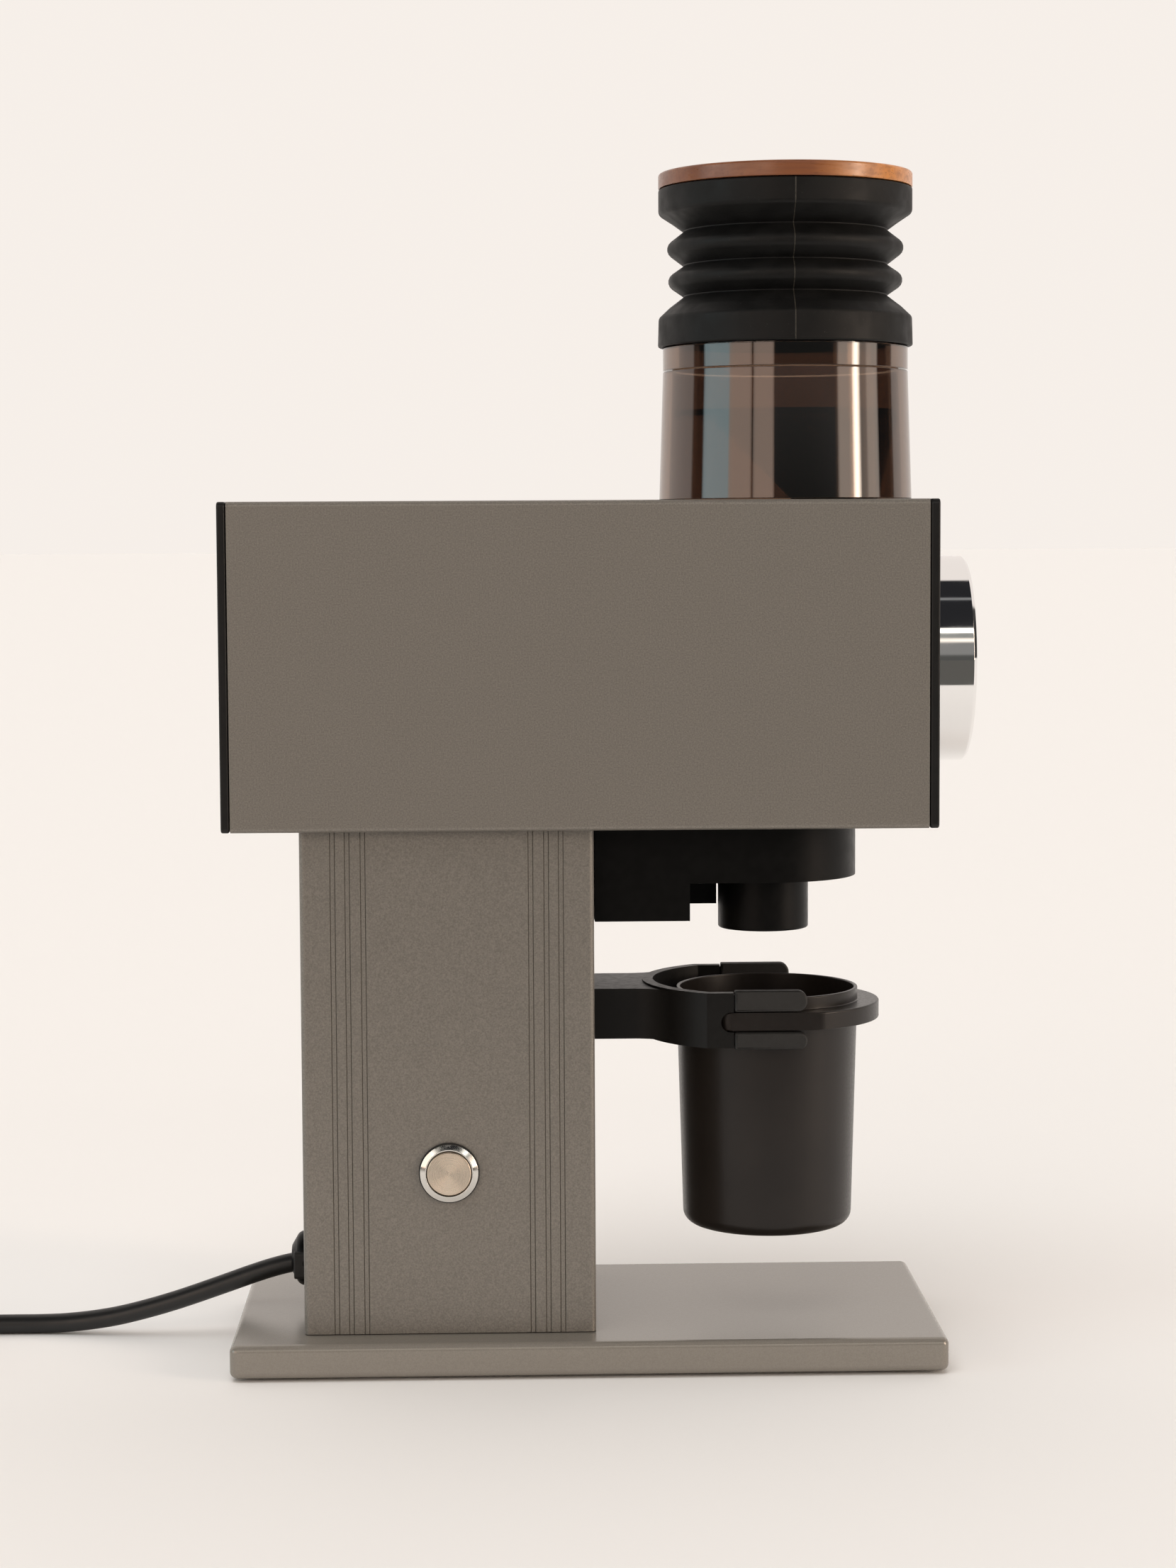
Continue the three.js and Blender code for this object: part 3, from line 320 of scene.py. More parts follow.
def joined(*meshes):
    """Meshes that don't overlap, as one mesh."""
    bm = bmesh.new()
    for mesh in meshes:
        bm.from_mesh(mesh)
    made = bpy.data.meshes.new("joined")
    bm.to_mesh(made)
    bm.free()
    return made


def closed_ring(points):
    """A rounded profile that ends where it starts. The first point has no rounding."""
    return rounded([*points, points[0]])


def rod(radius, low, high, x, segments):
    """A plain upright cylinder, to cut with."""
    return lathe([(0, low), (radius, low), (radius, high), (0, high)], "z", (x, 0, 0), segments)


def on_hopper(profile, segments):
    return lathe(profile, "z", (HOPPER_X, 0, 0), segments)


def rectangle(x0, x1, y0, y1, radius=0.0, steps=5):
    corners = [(x1, y0, radius), (x1, y1, radius), (x0, y1, radius), (x0, y0, radius)]
    return rounded(corners, closed=True, steps=steps)


def circle(x, y, radius, count):
    turns = [2 * math.pi * k / count for k in range(count)]
    return [(x + radius * math.cos(t), y + radius * math.sin(t)) for t in turns]


# ---------------------------------------------------------------- materials


def add_node(tree, kind, inputs=None, **fields):
    """A new node with its fields set, and its inputs linked to a socket or set to a value."""
    node = tree.nodes.new(kind)
    for key, value in fields.items():
        setattr(node, key, value)
    for key, value in (inputs or {}).items():
        if isinstance(value, bpy.types.NodeSocket):
            tree.links.new(value, node.inputs[key])
        else:
            node.inputs[key].default_value = value
    return node


class Look:
    """A principled material and the few node patterns that the finishes are made of."""

    def __init__(self, name, color, roughness, metallic=0.0, **values):
        self.mat = bpy.data.materials.new(name)
        self.mat.use_nodes = True
        self.tree = self.mat.node_tree
        self.bsdf = self.tree.nodes["Principled BSDF"]
        self.color = color
        self.set("Base Color", (*color, 1))
        self.set("Roughness", roughness)
        self.set("Metallic", metallic)
        for key, value in values.items():
            self.set(key.replace("_", " "), value)
        self.coords = self.tree.nodes.new("ShaderNodeTexCoord").outputs["Object"]

    def set(self, socket, value):
        self.bsdf.inputs[socket].default_value = value

    def link(self, output, socket):
        self.tree.links.new(output, self.bsdf.inputs[socket])

    def add(self, kind, inputs=None, **fields):
        return add_node(self.tree, kind, inputs, **fields)

    def compute(self, operation, *values):
        return self.add("ShaderNodeMath", dict(enumerate(values)), operation=operation).outputs[0]

    def axes(self, vector=None):
        """The X, Y and Z outputs of a place on the piece, in metres."""
        return self.add("ShaderNodeSeparateXYZ", {"Vector": vector or self.coords}).outputs

    def placed(self, stretch=(1, 1, 1), place=(0, 0, 0)):
        inputs = {"Vector": self.coords, "Scale": stretch, "Location": place}
        return self.add("ShaderNodeMapping", inputs).outputs[0]

    def noise(self, scale, detail, stretch=(1, 1, 1), distort=0.0):
        inputs = {"Vector": self.placed(stretch), "Scale": scale, "Detail": detail, "Distortion": distort}
        return self.add("ShaderNodeTexNoise", inputs).outputs["Fac"]

    def steps(self, fac, low, high, start=0.35, end=0.65):
        """A number that runs from low to high as fac goes from start to end."""
        inputs = {"Value": fac, "From Min": start, "From Max": end, "To Min": low, "To Max": high}
        return self.add("ShaderNodeMapRange", inputs).outputs[0]

    def mixed(self, fac, *colors):
        """The first colour where fac is 0 and the second where it is 1."""
        first, second = (c if isinstance(c, bpy.types.NodeSocket) else (*c, 1) for c in colors)
        return self.add("ShaderNodeMix", {0: fac, 6: first, 7: second}, data_type="RGBA").outputs[2]

    def paint(self, fac, first, second):
        self.link(self.mixed(fac, first, second), "Base Color")

    def rough(self, fac, low, high, start=0.35, end=0.65):
        self.link(self.steps(fac, low, high, start, end), "Roughness")

    def bump(self, fac, height):
        """Relief of this height in mm, on top of any that is there."""
        inputs = {"Height": fac, "Distance": height * MM, "Strength": 1.0}
        found = self.bsdf.inputs["Normal"].links
        if found:
            inputs["Normal"] = found[0].from_socket
        self.link(self.add("ShaderNodeBump", inputs).outputs[0], "Normal")


def shade(color, factor):
    return tuple(c * factor for c in color)


def coated(name, color, roughness, grain, height, spread, metallic=0.0, specks=0.0, **values):
    """A sprayed or moulded surface: fine grain and flakes, with slow changes of tone and gloss."""
    look = Look(name, color, roughness, metallic, **values)
    slow = look.noise(38, 3)
    fine = look.noise(grain, 2)
    tone = look.mixed(look.steps(slow, 0, 1), shade(color, 1 - spread), shade(color, 1 + spread))
    flakes = look.mixed(look.steps(fine, 0, 1, 0.3, 0.7), shade(color, 1 - specks), shade(color, 1 + specks))
    look.paint(0.5, tone, flakes)
    look.rough(look.noise(grain / 3, 2), roughness * 0.9, min(1, roughness * 1.1))
    look.bump(fine, height)
    return look


# name, colour, roughness, grain's scale, relief in mm, spread of tone, other values
COATED = (
    ("grey_coat", (0.194, 0.179, 0.158), 0.38, 2200, 0.03, 0.01, {"metallic": 0.3, "specks": 0.38}),
    # the base plate's copy of grey_coat, painted lighter in place of the light the plate gets from the floor
    ("base_coat_painted_lighter", (0.25, 0.23, 0.202), 0.24, 2600, 0.002, 0.01, {"metallic": 0.3, "specks": 0.14}),
    ("black_panel", (0.009, 0.0088, 0.0086), 0.4, 1500, 0.02, 0.08, {"Specular_IOR_Level": 0.3}),
    ("rubber", (0.009, 0.009, 0.009), 0.6, 700, 0.03, 0.15, {}),
    ("black_plastic", (0.0028, 0.0027, 0.0026), 0.36, 1100, 0.012, 0.1, {"Specular_IOR_Level": 0.15}),
    ("fork", (0.0045, 0.0042, 0.004), 0.42, 1500, 0.02, 0.12, {"Specular_IOR_Level": 0.25}),
    ("grip", (0.011, 0.0105, 0.01), 0.6, 1000, 0.04, 0.2, {}),
    ("cord_sheath", (0.008, 0.008, 0.008), 0.4, 900, 0.02, 0.1, {}),
    ("board", (0.02, 0.09, 0.035), 0.4, 300, 0.02, 0.3, {}),
    ("cast", (0.4, 0.4, 0.4), 0.45, 500, 0.05, 0.08, {"metallic": 0.9}),
)


def brushed_look():
    """Turned metal: fine rings round the push button's axis."""
    look = Look("brushed", (0.62, 0.55, 0.49), 0.3, 1.0)
    from_button = look.axes(look.placed(place=(-BUTTON[0] * MM, 0, -BUTTON[1] * MM)))
    flat = look.add("ShaderNodeCombineXYZ", {"X": from_button["X"], "Y": from_button["Z"]}).outputs[0]
    radius = look.add("ShaderNodeVectorMath", {0: flat}, operation="LENGTH").outputs["Value"]
    inputs = {"W": radius, "Scale": 5200, "Detail": 3}
    rings = look.add("ShaderNodeTexNoise", inputs, noise_dimensions="1D").outputs["Fac"]
    look.rough(rings, 0.2, 0.42, 0.3, 0.7)
    look.bump(rings, 0.006)
    look.paint(look.steps(rings, 0, 1), (0.68, 0.57, 0.46), (0.86, 0.74, 0.61))
    look.set("Anisotropic", 0.8)
    look.link(look.add("ShaderNodeTangent", direction_type="RADIAL", axis="Y").outputs[0], "Tangent")
    return look


def wood_look():
    """Reddish wood with its grain along X, with a painted highlight that makes it paler and more orange
    towards the front.
    """
    look = Look("wood", (0.3, 0.1, 0.04), 0.4, Coat_Weight=0.25, Coat_Roughness=0.2)
    warp = look.noise(14, 3, stretch=(0.35, 1, 1))
    slow = look.noise(55, 4, stretch=(0.12, 1, 1.6), distort=0.6)
    grain = look.noise(420, 4, stretch=(0.05, 1, 1.4))
    pores = look.noise(1500, 2, stretch=(0.08, 1, 1))
    tone = look.mixed(look.steps(slow, 0, 1, 0.3, 0.7), (0.085, 0.026, 0.012), (0.26, 0.09, 0.03))
    tone = look.mixed(look.steps(warp, 0, 0.35), tone, (0.3, 0.1, 0.03))
    # Painted highlight: the tone turns paler and more orange towards the front, in place of the bright
    # reflection on the lid's side.
    painted_highlight_x = look.compute("MULTIPLY_ADD", slow, 0.03, look.axes()["X"])
    tone = look.mixed(look.steps(painted_highlight_x, 0, 0.9, 0.078, 0.104), tone, (0.62, 0.25, 0.065))
    tone = look.mixed(look.steps(grain, 0, 0.55, 0.45, 0.75), tone, (0.13, 0.035, 0.014))
    look.paint(look.steps(pores, 0, 0.5, 0.6, 0.75), tone, (0.07, 0.02, 0.01))
    look.rough(grain, 0.26, 0.42)
    look.bump(grain, 0.02)
    return look


def silicone_look():
    """Black silicone with specks of dust and a painted highlight along the seam's near side."""
    look = Look("silicone", (0.005, 0.005, 0.005), 0.5, Specular_IOR_Level=0.25)
    dust = look.noise(2600, 2)
    patches = look.noise(160, 3)
    tone = look.mixed(look.steps(patches, 0, 1), (0.004, 0.004, 0.004), (0.006, 0.0059, 0.0058))
    axes = look.axes()
    # Painted highlight: a pale line along the seam's near side, where light catches the ridge, made patchy
    # by the dust noise.
    off_seam = look.compute("ABSOLUTE", look.compute("SUBTRACT", axes["X"], SEAM_X * MM))
    line = look.steps(off_seam, 0.5, 0, 0.08 * MM, 0.2 * MM)
    near_side = look.steps(axes["Y"], 1, 0, -1 * MM, 1 * MM)
    seam_highlight = look.compute("MULTIPLY", look.compute("MULTIPLY", line, near_side), look.steps(dust, 0.3, 1))
    tone = look.mixed(seam_highlight, tone, (0.1, 0.09, 0.07))
    look.paint(look.steps(dust, 0, 0.6, 0.72, 0.8), tone, (0.12, 0.115, 0.11))
    look.rough(patches, 0.48, 0.62)
    look.bump(look.noise(700, 2), 0.015)
    return look


def make_looks():
    looks = {}
    for name, color, roughness, grain, height, spread, others in COATED:
        looks[name] = coated(name, color, roughness, grain, height, spread, **others)

    cup = Look("cup_coat", (0.012, 0.009, 0.0075), 0.3, 0.1, Specular_IOR_Level=0.4)
    cup.paint(cup.steps(cup.noise(45, 3), 0, 1), (0.0105, 0.0078, 0.0066), (0.0135, 0.0102, 0.0085))
    cup.rough(cup.noise(1200, 2), 0.28, 0.36)
    cup.bump(cup.noise(2200, 2), 0.01)
    looks["cup_coat"] = cup

    steel = Look("steel", (0.5, 0.5, 0.5), 0.3, 1.0)
    steel.rough(steel.noise(500, 3), 0.24, 0.36)
    steel.bump(steel.noise(900, 2), 0.004)
    looks["steel"] = steel

    polished = Look("polished", (0.9, 0.895, 0.89), 0.05, 1.0)
    polished.rough(polished.noise(120, 4), 0.03, 0.08)
    polished.bump(polished.noise(30, 1), 0.002)
    looks["polished"] = polished

    bezel = Look("bezel", (0.72, 0.7, 0.66), 0.12, 1.0)
    bezel.rough(bezel.noise(700, 3), 0.08, 0.18)
    bezel.bump(bezel.noise(300, 2), 0.003)
    looks["bezel"] = bezel

    for name, color, ior in (("smoky", (0.18, 0.112, 0.075), 1.75), ("funnel", (0.08, 0.05, 0.035), 1.49)):
        clear = Look(name, color, 0.03, 0.0, Transmission_Weight=1.0, IOR=ior)
        clear.rough(clear.noise(90, 3), 0.01, 0.05)
        clear.bump(clear.noise(25, 1), 0.003)
        looks[name] = clear

    looks.update(brushed=brushed_look(), wood=wood_look(), silicone=silicone_look())
    return {name: look.mat for name, look in looks.items()}


make_camera()
LOOK = make_looks()

# ---------------------------------------------------------------- cord, its coil, tie and plug


def coil_points():
    """Centreline of the coil: two turns inwards on the floor, then back outwards on top of them."""
    points = []
    floor_z = CORD_D / 2
    for angle in range(COIL_START + COIL_STEP, COIL_END + 1, COIL_STEP):
        if angle <= COIL_DOWN:
            radius, z = COIL_OUTER - CORD_D * (angle - COIL_START) / 360, floor_z
        elif angle <= COIL_UP:
            rise = (angle - COIL_DOWN) / (COIL_UP - COIL_DOWN)
            radius, z = COIL_INNER, floor_z + CORD_D * rise * rise * (3 - 2 * rise)
        else:
            radius, z = COIL_INNER + CORD_D * (angle - COIL_UP) / 360, floor_z + CORD_D
        off = abs((angle - TIE_ANGLE + 180) % 360 - 180)
        if off < TIE_REACH:
            z += TIE_LIFT * (1 + math.cos(math.pi * off / TIE_REACH))
        t = math.radians(angle)
        points.append((COIL[0] + radius * math.cos(t), COIL[1] + radius * math.sin(t), z))
    return points


def knot_step(a, b):
    return (b - a).length ** 0.5


def smooth_path(points, spacing=2.0):
    """Points of a smooth curve through these ones (centripetal Catmull-Rom), about spacing mm apart."""
    line = [Vector(p) for p in points]
    line = [2 * line[0] - line[1], *line, 2 * line[-1] - line[-2]]
    out = []
    for p0, p1, p2, p3 in zip(line, line[1:], line[2:], line[3:]):
        t1 = knot_step(p0, p1)
        t2 = t1 + knot_step(p1, p2)
        t3 = t2 + knot_step(p2, p3)
        count = max(1, round((p2 - p1).length / spacing))
        for k in range(count):
            t = t1 + (t2 - t1) * k / count
            a1 = p0 * (t1 - t) / t1 + p1 * t / t1
            a2 = p1 * (t2 - t) / (t2 - t1) + p2 * (t - t1) / (t2 - t1)
            a3 = p2 * (t3 - t) / (t3 - t2) + p3 * (t - t2) / (t3 - t2)
            b1 = a1 * (t2 - t) / t2 + a2 * t / t2
            b2 = a2 * (t3 - t) / (t3 - t1) + a3 * (t - t1) / (t3 - t1)
            out.append(b1 * (t2 - t) / (t2 - t1) + b2 * (t - t1) / (t2 - t1))
    out.append(Vector(points[-1]))
    return out


def make_plug():
    """The plug with its ribbed relief, and its three pins, along Y from the cord's end."""
    at = (PLUG_X, 0, PLUG_Z)
    relief_end = PLUG_REAR - PLUG["relief"]
    body_end = relief_end - PLUG["body"]
    ribs = [(0, PLUG_REAR)]
    for k in range(PLUG["ribs"]):
        y = PLUG_REAR - 1.2 - k * 3.3
        radius = 4.1 + 0.38 * k
        ribs += [(radius, y + 0.8, 0.5), (radius + 0.15, y - 1.2, 0.5), (radius - 0.75, y - 1.5),
                 (radius - 0.65, y - 2.2)]
    ribs += [(6.5, relief_end + 0.6, 0.4), (6.5, relief_end - 2), (0, relief_end - 2)]
    relief = lathe(rounded(ribs), "y", at, 40)
    shell = rounded([(-12, -9.4, 5), (12, -9.4, 5), (12, 9.8, 6), (-12, 9.8, 6)], closed=True, steps=8)
    body = slab(shell, body_end, relief_end, "y", at, 2.2, steps=5)
    plug = put("mains_plug_body", joined(relief, body), "stand", "black_plastic", ["mains_plug"])

    root = body_end + PLUG["root"]
    blades = []
    for dx in (-PLUG["spread"], PLUG["spread"]):
        blade = rectangle(dx - 0.8, dx + 0.8, -0.8, 5.5, 0.3)
        blades.append(slab(blade, body_end - PLUG["blade"], root, "y", at, 0.25))
    tip = body_end - PLUG["pin"]
    round_pin = lathe(rounded([(0, tip), (2.4, tip, 1.6), (2.4, root), (0, root)]), "y",
                      (PLUG_X, 0, PLUG_Z - PLUG["drop"]), 32)
    return [plug, put("plug_pins", joined(*blades, round_pin), "stand", "steel")]


def make_tie():
    strap = slab(rectangle(27.4, 43.0, 0.02, 14.6, 2.6), -TIE_HALF, TIE_HALF, "y", bevel=0.3,
                 holes=[rectangle(28.6, 41.8, 1.05, 13.5, 2.2)])
    turn = Matrix.Rotation(math.radians(TIE_ANGLE - 360), 4, "Z")
    strap.transform(Matrix.Translation(Vector((*COIL, 0)) * MM) @ turn)
    return put("cord_strap", strap, "stand", "rubber", ["cord_tie"])


def make_cord():
    path = smooth_path([*CORD_ROUTE, *coil_points(), *PLUG_ROUTE])
    data = bpy.data.curves.new("mains_cord", "CURVE")
    data.dimensions = "3D"
    data.bevel_depth = CORD_D / 2 * MM
    data.bevel_resolution = 6
    data.use_fill_caps = True
    spline = data.splines.new("POLY")
    spline.points.add(len(path) - 1)
    spline.points.foreach_set("co", [c for p in path for c in (*(p * MM), 1)])
    spline.use_smooth = True
    cord = bpy.data.objects.new("mains_cord", data)
    scene.collection.objects.link(cord)
    data.materials.append(LOOK["cord_sheath"])
    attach(cord, "stand")
    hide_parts("power_cord", "plug_lead", "cord_coil")
    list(make_plug())
    make_tie()


make_cord()

# ---------------------------------------------------------------- stand: base, feet, column


def base_and_feet():
    x0, x1, half = BASE["x0"], BASE["x0"] + BASE["length"], BASE["depth"] / 2
    plan = rectangle(x0, x1, -half, half, BASE["corner"], 8)
    plate = slab(plan, BASE["z0"], BASE["z1"], bevel=BASE["edge"], steps=6)
    # The plate wears a copy of the grey coat that is painted lighter, in place of the light it gets from the
    # floor.
    put("base_plate_coated", plate, "stand", "grey_coat", ["base_plate"], "base_coat_painted_lighter", 50)
    profile = rounded([(0, 0.5), (5.6, 0.5, 0.4), (6.2, 0, 0.4), (8.4, 0, 0.5), (9, 0.6, 0.3), (9, 2.9),
                       (0, 2.9)])
    for side, y in (("near", -1), ("far", 1)):
        for end, x in (("rear", x0 + FOOT_INSET), ("front", x1 - FOOT_INSET)):
            foot = lathe(profile, place=(x, y * (half - FOOT_INSET), 0), segments=64)
            put(f"rubber_foot_{end}_{side}", foot, "stand", "rubber", [f"foot_{end}_{side}"])


def column_outline():
    """The column's section. Each groove has a flat floor and a fine notch along each of its edges."""
    half = COLUMN["length"] / 2
    y = COLUMN["depth"] / 2
    width, deep, corner = GROOVES["width"], GROOVES["deep"], COLUMN["corner"]
    mids = [d - half for d in GROOVES["offsets"]] + [half - d for d in reversed(GROOVES["offsets"])]

    def side(sign):
        line = []
        for mid in (mids if sign < 0 else reversed(mids)):
            step, notch = -sign * width / 2, -sign * GROOVES["notch"]
            edge, floor, root = y * sign, (y - GROOVES["floor"]) * sign, (y - deep) * sign
            line += [(mid - step - notch, edge, 0.05), (mid - step, root), (mid - step + notch, floor, 0.05),
                     (mid + step - notch, floor, 0.05), (mid + step, root), (mid + step + notch, edge, 0.05)]
        return line

    corners = [(-half, -y, corner), *side(-1), (half, -y, corner),
               (half, y, corner), *side(1), (-half, y, corner)]
    return [(COLUMN_MID + a, b) for a, b in rounded(corners, closed=True, steps=4)]


def column():
    half, depth = COLUMN["length"] / 2 - COLUMN["wall"], COLUMN["depth"] / 2 - COLUMN["wall"]
    inside = rectangle(COLUMN_MID - half, COLUMN_MID + half, -depth, depth, INSIDE_CORNER)
    tube = slab(column_outline(), BASE["z1"] + GAP, HEAD["z0"] - GAP, holes=[inside])
    put("column_profile", tube, "stand", "grey_coat", ["column_tube"], sharp=24)


def push_button():
    """Seal, bezel with its barrel, and cap. Heights along the axis are places on Y."""
    at = (BUTTON[0], 0, BUTTON[1])
    seal = -COLUMN["depth"] / 2 - GAP
    bezel = seal - 0.8
    face = bezel - 1.1
    gasket = closed_ring([(8.2, seal - 0.5), (9.38, seal - 0.5, 0.2), (9.38, seal, 0.1), (8.2, seal)])
    put("button_gasket", lathe(gasket, "y", at), "stand", "rubber", ["button_seal"])
    profile = rounded([(0, face + 2.4), (7.12, face + 2.4), (7.12, face, 0.12), (7.5, face, 0.12),
                       (9.03, bezel - 0.35, 0.2), (9.03, bezel, 0.1), (7.9, bezel), (7.9, -18, 0.5),
                       (0, -18)])
    put("button_bezel", lathe(profile, "y", at, 128), "stand", "brushed", ["button_body"], "bezel", 22)
    cap = rounded([(0, face - 0.3), (6.55, face - 0.3, 0.25), (6.88, face + 0.1, 0.2), (6.88, face + 2.1),
                   (4.5, face + 2.1), (4.5, -24.5, 0.4), (0, -24.5)])
    put("button_face", lathe(cap, "y", at, 128), "button", "brushed", ["button_cap"], sharp=22)


# ---------------------------------------------------------------- head


def head():
    width, height, wall, corner = HEAD["depth"] / 2, HEAD["height"] / 2, HEAD["wall"], HEAD["corner"]
    corners = [(-width, -height, corner), (width, -height, corner),
               (width, height, corner), (-width, height, corner)]
    outline = [(a, b + SHAFT_Z) for a, b in rounded(corners, closed=True, steps=6)]
    inner = rectangle(-width + wall, width - wall, HEAD["z0"] + wall, HEAD_TOP - wall, INSIDE_CORNER)
    tube = slab(outline, REAR + COVER_THICK + GAP, PANEL_FRONT - PANEL_THICK - GAP, "x", holes=[inner])
    inlet = rod(PORT_R, HEAD_TOP - 10, HEAD_TOP + 5, THROAT["x"], 48)
    outlet = rod(PORT_R, HEAD["z0"] - 5, HEAD["z0"] + 10, CHUTE_X, 48)
    put("head_shell", merge(tube, inlet, outlet, how="DIFFERENCE"), "stand", "grey_coat", ["head_tube"])

    dy, dz = COVER_SCREW["dy"], COVER_SCREW["dz"]
    spots = [(y, SHAFT_Z + z) for z in (-dz, dz) for y in (-dy, dy)]
    rear = slab(outline, REAR, REAR + COVER_THICK, "x", bevel=0.6)
    sink = [(0, REAR - 1), (3.7, REAR - 1), (3.7, REAR + 1.4), (2.0, REAR + 1.4), (2.0, REAR + 4),
            (0, REAR + 4)]
    sinks = [lathe(sink, "x", (0, y, z), 40) for y, z in spots]
    put("rear_plate", merge(rear, *sinks, how="DIFFERENCE"), "stand", "black_panel", ["rear_cover"])
    for name, (y, z) in zip(("low_near", "low_far", "high_near", "high_far"), spots):
        screw = socket_screw(COVER_SCREW)
        screw.transform(Matrix.Translation(Vector((REAR + 0.1, y, z)) * MM) @ ONTO["x"])
        put(f"cover_bolt_{name}", screw, "stand", "steel", [f"rear_screw_{name}"])
    front = slab(outline, PANEL_FRONT - PANEL_THICK, PANEL_FRONT, "x", bevel=0.6,
                 holes=[circle(0, SHAFT_Z, DIAL["hub_r"] + GAP, 64)])
    put("front_plate", front, "stand", "black_panel", ["front_panel"])


def socket_screw(size):
    """A screw along +Z with its head at 0 and a hexagon socket in it, in metres."""
    head_r, head_long, shank_r, length = size["head_r"], size["head_long"], size["shank_r"], size["length"]
    profile = rounded([(0, 0), (head_r, 0, 0.3), (head_r, head_long, 0.1), (shank_r, head_long),
                       (shank_r, length, 0.3), (0, length)])
    socket = slab(circle(0, 0, head_r * 0.5, 6), -1, head_long * 0.7)
    return merge(lathe(profile, segments=40), socket, how="DIFFERENCE")


def base_screws():
    dx, dy, z = BASE_SCREW["dx"], BASE_SCREW["dy"], BASE_SCREW["z"]
    for end, x in (("rear", COLUMN_MID - dx), ("front", COLUMN_MID + dx)):
        for side, y in (("near", -dy), ("far", dy)):
            screw = socket_screw(BASE_SCREW)
            screw.transform(Matrix.Translation(Vector((x, y, z)) * MM))
            put(f"base_bolt_{end}_{side}", screw, "stand", "steel", [f"base_screw_{end}_{side}"])


def dial_knob():
    """A disc with a hollow at its back for the burr carrier. Extra rings keep its flat face even."""
    back, hollow_end = PANEL_FRONT + GAP, FRONT - DIAL["face_thick"] + GAP
    hub, edge = DIAL["hub_r"], DIAL["radius"]
    profile = rounded([(0, hollow_end), (hub, hollow_end), (hub, back), (edge - 0.35, back, 0.2),
                       (edge, back + 0.5, 0.2), (edge, FRONT - DIAL["chamfer"], 0.15),
                       (DIAL["face_r"], FRONT, 0.15), (20, FRONT), (8, FRONT), (0, FRONT)])
    disc = lathe(profile, "x", (0, 0, SHAFT_Z), 160)
    put("dial_knob", disc, "dial", "polished", ["adjustment_dial"], sharp=18)


# ---------------------------------------------------------------- hopper, bellows, lid


def hopper():
    """The smoky tube and the ring on it, with a neck for the bellows' bottom band."""
    z0 = HEAD_TOP + GAP
    wall = closed_ring([(36.9, z0), (39.9, z0, 0.25), (38.6, 309.1, 0.15), (35.6, 309.1, 0.15)])
    put("hopper_wall", on_hopper(wall, 160), "stand", "smoky", ["hopper_tube"])
    ring = closed_ring([(33.6, 309.5), (38.6, 309.5, 0.15), (38.6, 316.6, 0.2), (37.0, 316.6),
                        (37.0, 322.6, 0.4), (33.6, 322.6, 0.4)])
    put("hopper_collar", on_hopper(ring, 160), "stand", "smoky", ["hopper_ring"])


def funnel(count=96):
    """A shelf round the hopper's top and a cone that leans towards the throat."""
    throat_x, inner, outer = THROAT["x"], THROAT["radius"], THROAT["radius"] + THROAT["wall"]
    mouth, lip = HEAD_TOP + GAP, 296.7
    rings = [  # (x of its middle, radius, height)
        (throat_x, inner, THROAT["bottom"]), (throat_x, inner, mouth), (64.8, 28.4, lip - 0.8),
        (64.5, 29.2, lip), (HOPPER_X, 35.2, lip), (HOPPER_X, 35.2, lip - 2), (65.5, 30.0, lip - 2),
        (throat_x, outer, mouth), (throat_x, outer, THROAT["bottom"]),
    ]
    verts, faces = [], []
    for x, radius, z in rings:
        verts += [(a * MM, b * MM, z * MM) for a, b in circle(x, 0, radius, count)]
    for row in range(len(rings)):
        low, high = row * count, ((row + 1) % len(rings)) * count
        for k in range(count):
            n = (k + 1) % count
            faces.append((low + k, low + n, high + n, high + k))
    mesh = bpy.data.meshes.new("funnel")
    mesh.from_pydata(verts, [], faces)
    put("funnel_insert", mesh, "stand", "smoky", ["hopper_funnel"], "funnel")


def seam_angles(count=120):
    """Even angles, with a few more close to the seam."""
    even = [2 * math.pi * k / count for k in range(count)]
    extra = [SEAM % (2 * math.pi) + d for d in (-0.012, -0.006, -0.002, 0, 0.002, 0.006, 0.012)]
    return sorted([*extra, *(t for t in even if all(abs(t - e) > 0.001 for e in extra))])


def seam_ridge(t, radius, _height):
    """How far the surface stands out at angle t."""
    if radius <= RIDGE["from_radius"]:
        return 0
    off = abs((t - SEAM + math.pi) % (2 * math.pi) - math.pi)
    return RIDGE["high"] * max(0.0, 1 - off / RIDGE["half_angle"])


def bellows():
    """The bottom band and the folds go with the bellows cap, the top band follows the lid, and the folds get
    a mesh of their own.
    """
    angles = seam_angles()

    def turned_part(name, profile, body, stands_for=()):
        mesh = lathe(closed_ring(profile), place=(HOPPER_X, 0, 0), angles=angles, bulge=seam_ridge)
        return put(name, mesh, body, "rubber", stands_for, "silicone")

    bottom = [(37.3, 316.95), (40.15, 316.95, 0.6), (39.9, 326.0, 1.8), (36.5, 329.2), (33.9, 329.2),
              (37.3, 325.2)]
    turned_part("bellows_foot", bottom, "bellows_cap", ["bellows"])
    outside = [(36.55, 329.15), (31.9, 332.7, 0.35), (38.9, 337.5, 2.7), (31.9, 342.3, 0.35),
               (38.9, 347.6, 2.7), (31.9, 353.0, 0.35), (35.85, 355.85)]
    inside = [(33.3, 356.0), (29.6, 353.0, 0.8), (35.2, 347.6, 0.8), (29.6, 342.2, 0.8), (35.2, 337.5, 0.8),
              (29.6, 332.6, 0.8), (33.95, 329.1)]
    folds = turned_part("bellows_folds", outside + inside, "bellows_cap")
    top = [(35.8, 355.8), (39.9, 358.5, 1.8), (39.9, 366.0, 0.5), (37.3, 366.0), (37.3, 359.5),
           (33.2, 355.8)]
    turned_part("bellows_collar", top, "lid")
    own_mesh(folds)


